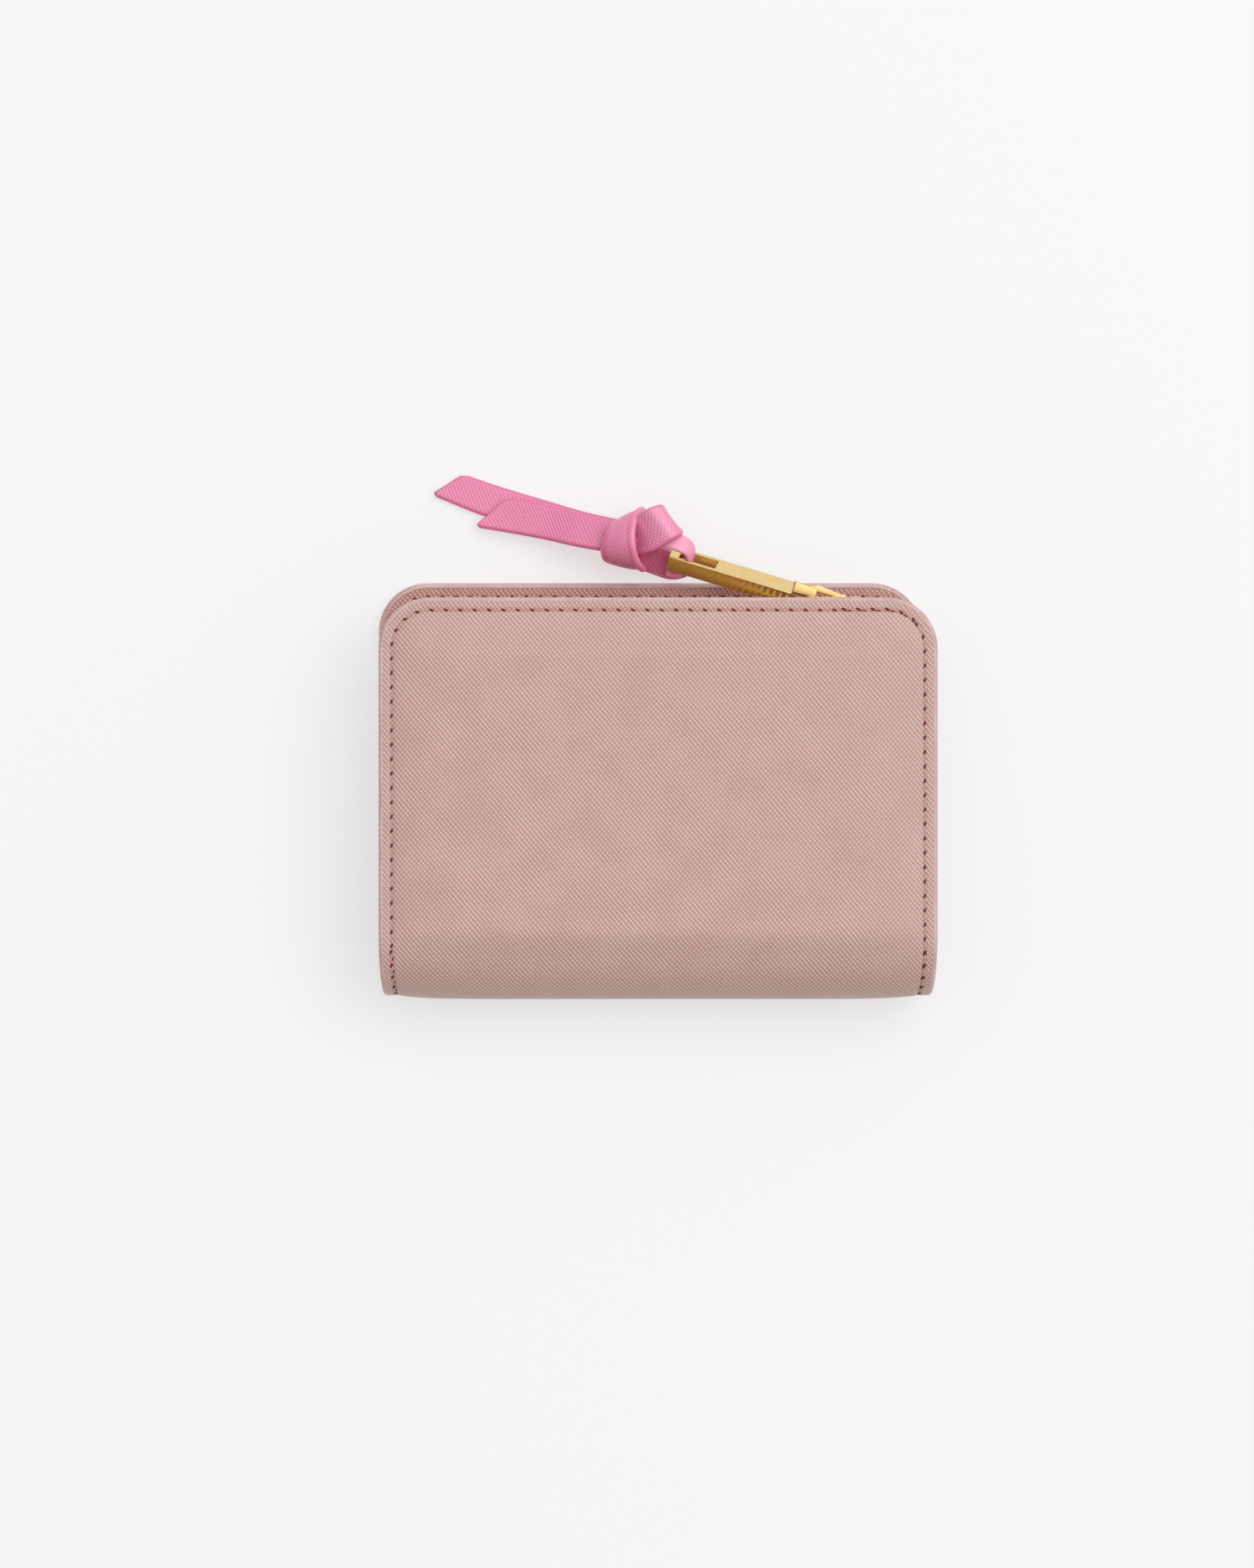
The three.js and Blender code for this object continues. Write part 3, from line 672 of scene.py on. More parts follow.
def stitch_row(name, path, normal, body, blend_from=None, sag=0.1):
    """A row of saddle stitches along a path: thread segments, each an arched tube that dips into
    the leather at both ends."""
    along = np.concatenate([[0], np.cumsum(np.linalg.norm(np.diff(path, axis=0), axis=1))])
    count = int(along[-1] / STITCH_PITCH)
    knots = np.arange(count + 1) * STITCH_PITCH

    def at(s):
        return np.stack([np.interp(s, along, path[:, k]) for k in range(3)], -1)

    def up_at(s):
        return unit(np.stack([np.interp(s, along, normal[:, k]) for k in range(3)], -1))

    rings, sides = 7, 6
    t = np.linspace(0.07, 0.93, rings)
    s = knots[:-1, None] + t[None] * STITCH_PITCH
    centre = at(s)
    up = up_at(s)
    lift = (0.16 * np.sin(np.pi * t) - 0.16 - sag)[None, :, None]
    centre = centre + lift * up
    direction = unit(at(s + 0.05) - at(s - 0.05))
    side = np.cross(direction, up)
    angle = np.arange(sides) * 2 * math.pi / sides
    radius = THREAD * (0.72 + 0.28 * np.sin(np.pi * t))[None, :, None, None]
    ring = (np.cos(angle)[None, None, :, None] * side[:, :, None]
            + np.sin(angle)[None, None, :, None] * up[:, :, None])
    points = (centre[:, :, None] + radius * ring).reshape(-1, 3)
    one = grid_faces(rings, sides, close_columns=True, flip=True)
    faces = (one[None] + (np.arange(count) * rings * sides)[:, None, None]).reshape(-1, 4).tolist()
    base = np.arange(count) * rings * sides
    for ring_start, flip in ((0, False), ((rings - 1) * sides, True)):
        cap = (base[:, None] + ring_start + np.arange(sides)[None])
        faces += (cap[:, ::-1] if flip else cap).tolist()
    thread = outward(make_mesh(name, points, faces))
    thread.data.materials.append(THREAD_MAT)
    heading = unit(at(knots + 0.05) - at(knots - 0.05))
    holes = needle_holes(name + "_holes", at(knots), up_at(knots), heading, sag)
    for piece in (thread, holes):
        if blend_from is None:
            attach(piece, body)
        else:
            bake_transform(piece)
    return thread


def needle_holes(name, places, up, along, sag):
    """Each needle hole: a shallow dimple coloured dark as painted shade for the hole's depth, a stretched
    half ball set into the groove.
    """
    side = np.cross(along, up)
    rings, sides = 3, 8
    height = np.array([0.0, 0.6, 1.0])
    radius = np.array([1.0, 0.75, 0.15])
    angle = np.arange(sides) * 2 * math.pi / sides
    local = np.stack([radius[:, None] * np.cos(angle)[None] * HOLE_LONG,
                      radius[:, None] * np.sin(angle)[None] * HOLE_WIDE,
                      np.broadcast_to(height[:, None] * 0.06, (rings, sides))], -1).reshape(-1, 3)
    under = local[:sides] * [1, 1, 0] - [0, 0, 0.25]
    local = np.concatenate([under, local])
    tilt = 0.35
    a = along * math.cos(tilt) + side * math.sin(tilt)
    b = side * math.cos(tilt) - along * math.sin(tilt)
    points = (places[:, None] - sag * 1.2 * up[:, None] + local[None, :, :1] * a[:, None]
              + local[None, :, 1:2] * b[:, None] + local[None, :, 2:] * up[:, None])
    m = len(local)
    one = grid_faces(rings + 1, sides, close_columns=True)
    faces = (one[None] + (np.arange(len(places)) * m)[:, None, None]).reshape(-1, 4).tolist()
    start = np.arange(len(places)) * m
    faces += (start[:, None] + np.arange(sides)[None, ::-1]).tolist()
    faces += (start[:, None] + m - sides + np.arange(sides)[None]).tolist()
    piece = outward(make_mesh(name, points.reshape(-1, 3), faces))
    piece.data.materials.append(HOLE_SHADE_MAT)
    return piece


def back_stitches(name, path, normal, start, end, body, blend_from):
    """A short second row sewn back over the first, a third of a stitch out of step and a thread's
    width to the side."""
    along = np.concatenate([[0], np.cumsum(np.linalg.norm(np.diff(path, axis=0), axis=1))])
    start, end = (along[-1] + v if v < 0 else v for v in (start, end))
    s = np.linspace(start, end, 60)
    part = np.stack([np.interp(s, along, path[:, k]) for k in range(3)], -1)
    up = unit(np.stack([np.interp(s, along, normal[:, k]) for k in range(3)], -1))
    side = unit(np.cross(np.gradient(part, axis=0), up))
    stitch_row(name, part + 0.16 * side, up, body, blend_from, sag=0.0)


def add_covers():
    """The two leather halves with their painted edges, stitching and locked thread ends."""
    half_panel("back_cover_leather", TOP_Y, 1, CROWN, ["back_cover", "spine_leather"])
    half_panel("front_cover_leather", FRONT_Y - 1.2, -1, 0.0, ["front_cover"])
    edge_band("back_edge_paint", TOP_Y, 1, NEAR_EDGE)
    edge_band("front_edge_paint", FRONT_Y, -1, FAR_EDGE)
    path, _, normal = outline_path(TOP_Y, 1, STITCH_INSET)
    at_bend = (0, BEND_Y * MM, MARGIN_Z * MM)
    stitch_row("back_stitching", path, normal, "back_half", at_bend)
    for index, (start, end) in enumerate(((3.0, 15.0), (84.0, 99.0), (-15.0, -3.0))):
        back_stitches(f"back_stitching_lock_{index + 1}", path, normal, start, end, "back_half", at_bend)
    path, _, normal = outline_path(FRONT_Y, -1, STITCH_INSET)
    stitch_row("front_stitching", path, normal, "front_half", (0, BEND_Y * MM, 0.0))


# ---- Flat leather, cloth and board inside ----

def rounded_sheet(name, node, corner, material, body, arris=0.25, lean=0.0, axes=(0, 1, 2), ridge=0.0,
                  face=1):
    """A flat sheet in a frame node's box, with rounded far corners and arrises: each face stands
    back by arris * (1 - sqrt(1 - (1 - d/arris)^2)) at distance d from its edge. ridge raises a
    turned rim along the far edge; lean slides each row sideways."""
    low, high = box_mm(node)
    low, high = low[list(axes)], high[list(axes)]
    half = (high[0] - low[0] - lean * (high[1] - low[1])) / 2
    middle = 0.0 if lean else (high[0] + low[0]) / 2
    y = half_rows(low[1], high[1], corner, arris)
    across = dense_near_ends(2 * half, 0.14, 2.4, 0.6) / half - 1
    past = np.clip(y - (high[1] - corner), 0, None)
    row_half = half - corner + np.sqrt(np.clip(corner ** 2 - past ** 2, 0, None)) if corner else half + 0 * y
    x = across[None] * row_half[:, None]
    yy = np.broadcast_to(y[:, None], x.shape)
    d = np.minimum(row_half[:, None] - np.abs(x), np.minimum(high[1] - yy, yy - low[1]))
    if corner:
        r = np.hypot(np.clip(np.abs(x) - (half - corner), 0, None), np.clip(yy - (high[1] - corner), 0, None))
        d = np.minimum(d, np.where(yy > high[1] - corner, corner - r, d))
    drop = arris * (1 - np.sqrt(np.clip(1 - np.clip(1 - d / arris, 0, 1) ** 2, 0, 1)))
    rim = ridge * smoothstep((3.0 - (high[1] - yy)) / 0.5) * smoothstep(d / 0.8)
    groove = 0.09 * np.exp(-((d - STITCH_INSET) / 0.3) ** 2) * (high[1] - low[1] > 20)
    upper = high[2] - drop - (groove - rim if face > 0 else 0)
    lower = low[2] + drop + (groove - rim if face < 0 else 0)
    x = x + middle - lean * (yy - SPINE_Y)
    order = np.argsort(axes)
    top = np.stack([x, yy, upper], -1)[..., order]
    bottom = np.stack([x, yy, lower], -1)[..., order]
    uv = np.stack([x, yy], -1) * UV_PER_MM
    piece = outward(slab(name, top, bottom, uv))
    finish(piece, material)
    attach(piece, body)
    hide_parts(node)


def half_rows(low, high, corner, arris):
    """Row places between two edges, close together at the edges and round the far corners."""
    near = np.array([0.0, 0.02, 0.07, 0.15, 0.25]) / 0.25 * arris
    angle = np.linspace(0, math.pi / 2, 18)
    bend = high - corner + corner * np.sin(angle) if corner else np.array([high])
    rim = high - np.array([2.0, 2.4, 2.8, 3.1, 3.5])
    flat = np.linspace(low, high - corner, 34)
    rows = np.concatenate([low + near, high - near, bend, flat, rim])
    return np.unique(np.round(rows[(rows >= low) & (rows <= high)], 3))[::-1]


def inside_stitches(name, node, corner, body, z, up, inset=STITCH_INSET, lean=0.0, sides=True):
    """A stitched line round three sides of an inner sheet, or along its far edge only."""
    low, high = box_mm(node)
    half = (high[0] - low[0] - lean * (high[1] - low[1])) / 2 - inset
    top = high[1] - inset
    radius = max(corner - inset, 0.8)
    angle = np.linspace(0, math.pi / 2, 14)
    side = np.arange(low[1] + 1.5, top - radius, 0.8)
    right = np.concatenate([np.stack([np.full(len(side), half), side], -1),
                            np.stack([half - radius + radius * np.cos(angle),
                                      top - radius + radius * np.sin(angle)], -1)])
    xs = np.arange(half - radius - 0.8, -(half - radius), -0.8)
    line = np.stack([xs, np.full(len(xs), top)], -1)
    flat = np.concatenate([right, line, right[::-1] * [-1, 1]]) if sides else line
    flat[:, 0] -= lean * (flat[:, 1] - SPINE_Y)
    path = np.concatenate([flat, np.full((len(flat), 1), z)], 1)
    normal = np.tile([0.0, 0.0, float(up)], (len(path), 1))
    stitch_row(name, path, normal, body, sag=0.04)


def spine_inside(name, side, replaces=()):
    """Quarter of the spine's lining: the margin's bend set in by the board and the air gap."""
    arc_y, arc_z, arc_n = spine_arc(30, side)
    x = np.linspace(-1, 1, 40)
    half = HALF - 2.6 - SPINE_TUCK * np.clip((BEND_Y - arc_y) / (BEND_Y - SPINE_Y), 0, 1) ** 3
    base = np.stack([x[None] * half[:, None], np.broadcast_to(arc_y[:, None], (30, 40)),
                     np.broadcast_to(arc_z[:, None], (30, 40))], -1)
    top = base - 2.4 * arc_n[:, None]
    bottom = base - 3.0 * arc_n[:, None]
    uv = np.stack([base[..., 0], np.broadcast_to(np.linspace(0, 20, 30)[:, None], (30, 40))], -1) * UV_PER_MM
    piece = outward(slab(name, bottom, top, uv))
    finish(piece, ROSE_INNER_SHADE)
    if replaces:
        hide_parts(*replaces)
    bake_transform(piece)


def gusset(name, node, side):
    """A side gusset folded inwards: a V whose edges follow the pocket's outline and whose fold
    grows shallower round the corner until it meets the end of the zip."""
    low, high = box_mm(node)
    z0, z1 = low[2] + 0.4, high[2] - 0.4
    middle = (z0 + z1) / 2
    turn = np.linspace(-1, 1, 41)
    y = np.linspace(TAPE_HIGH[1] - 0.3, low[1], 90)
    corner = CORNER - 1.4
    past = np.clip(y - (TOP_Y - CORNER), 0, corner)
    edge = HALF - CORNER + np.sqrt(np.clip(corner ** 2 - past ** 2, 0, None))
    edge = np.maximum(np.minimum(edge, HALF - 0.55), TAPE_HIGH[0] + 0.55)
    deepest = high[0] - low[0] - 0.9
    reach = np.minimum(deepest, edge - TAPE_HIGH[0] - 0.45 + deepest * smoothstep((high[1] - y) / 9))
    fold = 1 - np.abs(turn) ** 1.35
    wave = 1 - 0.035 * np.sin(y / 6.5)[:, None] + 0.04 * np.sin(y[:, None] / 4 + turn[None] * 3)
    x_in = np.clip(reach[:, None] * fold[None] * wave, 0, reach[:, None])
    z = middle + (z1 - middle) * turn[None] + 0 * x_in
    base = np.stack([side * (edge[:, None] - x_in), np.broadcast_to(y[:, None], x_in.shape), z], -1)
    normal = unit(np.cross(unit(np.gradient(base, axis=0)), unit(np.gradient(base, axis=1))))
    uv = np.stack([base[..., 1], np.broadcast_to(turn[None] * 9, x_in.shape)], -1) * UV_PER_MM
    piece = outward(slab(name, base + 0.38 * normal, base - 0.38 * normal, uv))
    finish(piece, ROSE_INNER_SHADE)
    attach(piece, "back_half")
    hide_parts(node)


def zip_tape(name, node, side):
    """Woven tape: its hem lies flat under the wall and turns down to the teeth."""
    low, high = box_mm(node)
    t = 0.6
    hem_z = high[2] if side > 0 else low[2]
    end_z = low[2] if side > 0 else high[2]
    outer = np.array([[low[1], hem_z], [high[1] - 0.8, hem_z], [high[1] - 0.22, hem_z - side * 0.22],
                      [high[1], hem_z - side * 0.8], [high[1], end_z]])
    inner = np.array([[high[1] - t, end_z], [high[1] - t, hem_z - side * 1.2],
                      [high[1] - t - 0.3, hem_z - side * t], [low[1], hem_z - side * t]])
    section = np.concatenate([outer, inner])
    xs = np.linspace(low[0], high[0], 90)
    path = np.stack([xs, 0 * xs, 0 * xs], -1)
    piece = sweep(name, path, np.tile([0, 1.0, 0], (90, 1)), np.tile([0, 0, 1.0], (90, 1)), section)
    finish(piece, TAPE)
    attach(piece, "back_half")
    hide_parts(node)


def zip_tape_end(name):
    """Past the slider the two tapes are sewn together: a shallow valley of tape from the last
    teeth to the tapes' end, lowest along the zip's line."""
    start = box_mm("zip_teeth_outer")[1][0] + 0.1
    upper_low, upper_high = box_mm("zip_tape_outer")
    lower_high = box_mm("zip_tape_inner")[1]
    middle = (upper_low[2] + lower_high[2]) / 2
    reach = (upper_low[2] - lower_high[2]) / 2 + 0.3
    z = np.linspace(-1, 1, 9)
    valley = upper_high[1] - 0.12 - 0.3 * np.cos(z * math.pi / 2)
    section = np.concatenate([np.stack([valley, middle + reach * z], -1),
                              np.stack([valley - 0.45, middle + reach * z], -1)[::-1]])
    xs = np.linspace(start, upper_high[0] - 0.05, 12)
    piece = sweep(name, np.stack([xs, 0 * xs, 0 * xs], -1), np.tile([0, 1.0, 0], (12, 1)),
                  np.tile([0, 0, 1.0], (12, 1)), section)
    finish(piece, TAPE)
    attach(piece, "back_half")


def zip_teeth(name, node, side, shift):
    """Moulded teeth, each a rounded block that widens at its locking head, over a corded rim."""
    low, high = box_mm(node)
    middle_y = (low[1] + high[1]) / 2
    xs = np.arange(TEETH_LOW[0] + 0.45 + shift, TEETH_HIGH[0] - 0.4, TOOTH_PITCH)
    edge_z = high[2] if side > 0 else low[2]
    depth = high[2] - low[2]
    level = np.array([0.0, 0.12, 0.55, 0.7, 0.88, 1.0])
    half_x = np.array([0.24, 0.36, 0.3, 0.4, 0.4, 0.22])
    half_y = np.array([0.7, 1.0, 0.86, 1.0, 0.96, 0.6])
    angle = (np.arange(8) + 0.5) * math.pi / 4
    c, d = np.cos(angle), np.sin(angle)
    ring = np.stack([np.sign(c) * np.abs(c) ** 0.6, np.sign(d) * np.abs(d) ** 0.6], -1)
    local = np.stack([half_x[:, None] * ring[None, :, 0], half_y[:, None] * ring[None, :, 1],
                      np.broadcast_to((-side * depth * level)[:, None], (6, 8))], -1).reshape(-1, 3)
    points = np.array([0, middle_y, edge_z]) + local[None] + np.stack([xs, 0 * xs, 0 * xs], -1)[:, None]
    start = np.arange(len(xs)) * 48
    faces = (grid_faces(6, 8, close_columns=True)[None] + start[:, None, None]).reshape(-1, 4).tolist()
    faces += (start[:, None] + np.arange(8)[None, ::-1]).tolist()
    faces += (start[:, None] + 40 + np.arange(8)[None]).tolist()
    teeth = outward(make_mesh(name, points.reshape(-1, 3), faces))
    teeth.data.materials.append(GOLD_TEETH)
    bead_x = np.linspace(low[0], high[0], 3)
    path = np.stack([bead_x, 0 * bead_x + middle_y, 0 * bead_x + edge_z - side * 0.36], -1)
    turn = np.arange(12) * math.pi / 6
    section = np.stack([0.62 * np.cos(turn), 0.34 * np.sin(turn)], -1)
    bead = sweep(name + "_cord", path, np.tile([0, 1.0, 0], (3, 1)), np.tile([0, 0, 1.0], (3, 1)), section)
    bead.data.materials.append(TAPE)
    for piece in (teeth, bead):
        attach(piece, "back_half")
    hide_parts(node)


def add_inside():
    """Linings, pockets, the coin pocket's walls and gussets, and the boards they cover."""
    low, high = box_mm("front_lining")
    rounded_sheet("front_lining_leather", "front_lining", CORNER - 1, ROSE_INNER_SHADE, "front_half", lean=LEAN)
    inside_stitches("front_lining_stitching", "front_lining", CORNER - 1, "front_half", high[2], 1,
                    inset=2.5, lean=LEAN)
    for index in (1, 2, 3):
        node = f"card_pocket_{index}"
        low, high = box_mm(node)
        rounded_sheet(f"{node}_leather", node, 0, ROSE_INNER_SHADE, "front_half", arris=0.2, lean=LEAN, ridge=0.12)
        inside_stitches(f"{node}_stitching", node, 1.0, "front_half", high[2] + 0.05, 1, inset=1.9,
                        lean=LEAN, sides=index == 1)
    low, high = box_mm("coin_wall")
    rounded_sheet("coin_wall_leather", "coin_wall", CORNER, ROSE_INNER_SHADE, "back_half", face=-1)
    inside_stitches("coin_wall_stitching", "coin_wall", CORNER, "back_half", low[2], -1)
    for node in ("coin_lining_outer", "coin_lining_inner"):
        rounded_sheet(f"{node}_cloth", node, 2.0, CLOTH, "back_half", arris=0.12)
    rounded_sheet("coin_pocket_floor_cloth", "coin_pocket_floor", 0, CLOTH, "back_half", arris=0.12,
                  axes=(0, 2, 1))
    spine_inside("spine_lining_upper", 1, ["spine_lining"])
    spine_inside("spine_lining_lower", -1)
    gusset("gusset_left_leather", "gusset_left", -1)
    gusset("gusset_right_leather", "gusset_right", 1)
    for node in ("front_board", "back_board", "coin_wall_board", "spine_board"):
        for place in frame["nodes"][node].material_slots:
            place.link = "OBJECT"
            place.material = BOARD


def add_zip():
    """Both tapes, their sewn end and both rows of teeth, half a pitch out of step."""
    zip_tape("zip_tape_outer_weave", "zip_tape_outer", 1)
    zip_tape("zip_tape_inner_weave", "zip_tape_inner", -1)
    zip_tape_end("zip_tape_end_weave")
    zip_teeth("zip_teeth_outer_moulded", "zip_teeth_outer", 1, 0.0)
    zip_teeth("zip_teeth_inner_moulded", "zip_teeth_inner", -1, TOOTH_PITCH / 2)


# ---- Strap ----

def ribbon(name, centres, widths, thickness, rows=64, cut=(0.0, 0.0), tip=0.0, cup=0.0):
    """A flat strap along a smooth curve. Across, b runs from -1 to 1: each point is
    centre(t) + b * width(t) + h * normal(t), with rounded edges. cut gives how far the start of
    t is pushed in at b = -1 and b = 1, for a slanted end, tip how far the corners of that end
    are rounded off, and cup lifts the middle."""
    centres = np.asarray(centres, float)
    widths = np.asarray(widths, float)
    edge = np.linspace(-math.pi / 2, math.pi / 2, 7)
    half_width = np.linalg.norm(widths, axis=1).mean()
    edge_share = 0.5 * thickness / half_width
    inner = np.linspace(1 - edge_share, -(1 - edge_share), 15)[1:-1]
    b = np.concatenate([1 - edge_share + edge_share * np.cos(edge), inner,
                        -(1 - edge_share + edge_share * np.cos(edge)), inner[::-1]])
    h = np.concatenate([np.sin(edge), np.ones(len(inner)), -np.sin(edge), -np.ones(len(inner))])
    share = (b + 1) / 2
    low = cut[0] * (1 - share) + cut[1] * share + tip * np.clip((np.abs(b) - 0.7) / 0.3, 0, 1) ** 2.4
    t = low[None] + (1 - low)[None] * np.linspace(0, 1, rows)[:, None]
    centre = spline_at(centres, t)
    width = spline_at(widths, t)
    along = unit(spline_at(centres, t + 0.004) - spline_at(centres, t - 0.004))
    normal = unit(np.cross(along, width))
    lift = h * thickness / 2 + cup * (1 - b ** 2)
    points = centre + b[None, :, None] * width + lift[None, :, None] * normal
    length = np.linalg.norm(np.diff(spline_at(centres, np.linspace(0, 1, 200)), axis=0), axis=1).sum()
    across = b * half_width
    uv = np.stack([t * length, np.broadcast_to(across[None], t.shape)], -1) * UV_PER_MM
    rim = np.stack([np.broadcast_to((half_width - np.abs(across))[None], t.shape), 0 * t], -1)
    return closed_tube(name, points, uv, rim)


def closed_tube(name, points, uv, rim, ring=False):
    """Skins a grid whose columns close on themselves; the ends get fans unless rows close too."""
    n, m = points.shape[:2]
    flat = points.reshape(-1, 3)
    uv = uv.reshape(-1, 2)
    rim = rim.reshape(-1, 2)
    faces = [tuple(f) for f in grid_faces(n, m, close_rows=ring, close_columns=True)]
    if not ring:
        flat = np.concatenate([flat, points[:1].mean(1), points[-1:].mean(1)])
        uv = np.concatenate([uv, uv[:1], uv[-1:]])
        rim = np.concatenate([rim, [[0, 0], [0, 0]]])
        column = np.arange(m)
        after = (column + 1) % m
        faces += [tuple(f) for f in np.stack([after, column, np.full(m, n * m)], -1)]
        faces += [tuple(f) for f in np.stack([column + (n - 1) * m, after + (n - 1) * m,
                                              np.full(m, n * m + 1)], -1)]
    piece = make_mesh(name, flat, faces, uv)
    layer = piece.data.uv_layers.new(name="Rim")
    loops = np.zeros(len(piece.data.loops), np.int32)
    piece.data.loops.foreach_get("vertex_index", loops)
    layer.data.foreach_set("uv", rim[loops].astype(np.float32).ravel())
    return outward(piece)


def collar(name, rows=72):
    """The turn of strap round the knot: a cone band between a small ring on the tails' side and
    a wide ring on the loop's side, bulging between, with rolled rims."""
    angle = np.arange(rows) * 2 * math.pi / rows
    c, s = np.cos(angle), np.sin(angle)
    left = np.stack([-9.75 + 0.85 * c - 1.35 * np.clip(s, 0, 1), 51.95 + 3.85 * c, 7.2 + 4.0 * s], -1)
    right = np.stack([-3.4 - 0.05 * c - 2.2 * np.clip(s, 0, 1) ** 1.3, 52.45 + 5.85 * c, 7.7 + 5.8 * s], -1)
    thickness = 1.35
    edge = np.linspace(-math.pi / 2, math.pi / 2, 9)
    share = 0.09
    inner = np.linspace(1, 0, 17)[1:-1]
    q = np.concatenate([1 + share * np.cos(edge), inner, -share * np.cos(edge), inner[::-1]])
    h = np.concatenate([np.sin(edge) * 1.12, np.ones(len(inner)), -np.sin(edge), -np.ones(len(inner))])
    radial = unit(np.stack([0 * c + 0.25, c, s], -1))
    swell = 0.3 * np.sin(np.clip(q, 0, 1) * math.pi) * (h > 0)
    points = (left[:, None] * (1 - q)[None, :, None] + right[:, None] * q[None, :, None]
              + (h * thickness / 2 + swell)[None, :, None] * radial[:, None])
    uv = np.stack(np.broadcast_arrays(angle[:, None] * 5.5, q[None] * 7.2), -1) * UV_PER_MM
    rim = np.stack(np.broadcast_arrays(0 * angle[:, None], np.minimum(q, 1 - q)[None] * 7), -1)[..., ::-1]
    band = closed_tube(name, points, uv, rim, ring=True)
    turn = np.arange(14) * math.pi / 7
    ring = (np.cos(turn)[None, :, None] * radial[:, None]
            + np.sin(turn)[None, :, None] * np.array([1.0, 0, 0]))
    lip = right[:, None] + 0.2 * radial[:, None] + 0.86 * ring
    flat = np.zeros((rows, 14, 2))
    return band, closed_tube(name + "_rim", lip, flat, flat, ring=True)


def add_strap():
    """The knotted pull strap: two tails, the collar round them, the glossy fold above, the
    narrow loop through the bar's slot and the wider loop below it. Each ribbon is given by the
    points that its middle runs through and, at each, the vector from there to its edge."""
    long_tail = ribbon(
        "strap_long_tail",
        [(-46.9, 65.5, 0.8), (-36.5, 61.5, 0.8), (-25.5, 58.0, 1.2), (-16, 55.2, 3.4), (-8, 53.4, 6.0)],
        [(1.1, 3.1, 0), (1.2, 3.3, 0), (1.2, 3.4, 0), (1.0, 3.35, -0.3), (0.8, 3.2, -0.4)],
        1.35, rows=72, cut=(0.0, 0.115), tip=0.034)
    short_tail = ribbon(
        "strap_short_tail",
        [(-37.9, 58.9, 2.25), (-30, 57.6, 2.6), (-23, 56.3, 3.6), (-16, 54.4, 6.0), (-8, 52.6, 8.4)],
        [(0.75, 3.5, 0), (0.7, 3.55, 0), (0.9, 3.6, -0.1), (1.3, 3.35, -0.3), (0.9, 3.2, -0.3)],
        1.35, rows=72, cut=(-0.006, 0.17), tip=0.045)
    fold = ribbon(
        "strap_top_fold",
        [(-7.6, 50.8, 7.5), (-4.7, 52.2, 10.4), (-2.2, 53.6, 12.9), (0.4, 55.1, 14.2), (2.5, 56.1, 13.4),
         (2.8, 56.1, 11.9), (1.2, 55.2, 10.6), (-1.2, 53.6, 9.6)],
        [(1.1, -2.3, 0), (1.5, -3.0, 0), (1.9, -3.7, 0), (2.4, -3.35, 0), (2.3, -3.15, 0),
         (2.2, -2.85, 0), (1.8, -2.6, 0), (1.6, -2.4, 0)],
        1.3, rows=90, cup=0.35)
    narrow = ribbon(
        "strap_narrow_loop",
        [(-0.8, 53.0, 9.8), (1.8, 52.2, 11.6), (4.5, 51.3, 12.6), (6.6, 49.9, 11.7), (6.8, 47.7, 9.3),
         (5.6, 45.7, 7.6), (4.0, 45.4, 6.2), (2.0, 46.2, 5.6)],
        [(0.5, 1.6, -0.2), (0.8, 1.6, -0.4), (1.25, 1.5, -0.6), (0.95, 1.15, -0.9), (0.42, 0.82, -1.13),
         (0.42, 0.82, -1.13), (0.4, 0.9, -1.0), (0.3, 1.2, -0.7)],
        1.15, rows=90)
    lower = ribbon(
        "strap_lower_loop",
        [(-7.0, 50.0, 7.0), (-3.6, 49.3, 6.5), (-0.4, 48.5, 5.6), (2.5, 47.6, 4.7), (4.8, 47.0, 4.2),
         (6.3, 47.2, 4.0)],
        [(0.9, 2.5, 2.0), (0.8, 2.8, 1.6), (0.5, 3.2, 1.1), (0.2, 3.3, 0.7), (-0.4, 2.5, 0.4),
         (-0.8, 1.8, 0.2)],
        1.35, rows=56, cup=0.35)
    core = ribbon(
        "strap_knot_core",
        [(-8.5, 52.6, 7.4), (-5, 52.7, 7.8), (-1.8, 52.8, 8.2), (0.6, 52.6, 8.8)],
        [(0, 3.5, 1.2), (0, 4.3, 1.4), (0, 3.9, 1.3), (0, 2.6, 0.9)],
        4.2, rows=32, cup=1.2)
    band, rolled_rim = collar("strap_collar")
    pieces = [long_tail, short_tail, fold, narrow, lower, core, band, rolled_rim]
    leathers = [PINK, PINK, PINK_GLOSS, PINK_SMOOTH, PINK_PAINTED_SHADE, PINK_PAINTED_SHADE, PINK, PINK_EDGE]
    for piece, leather in zip(pieces, leathers):
        finish(piece, leather)
        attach(piece, "strap")
    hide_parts("pull_strap")


# ---- Gold parts ----

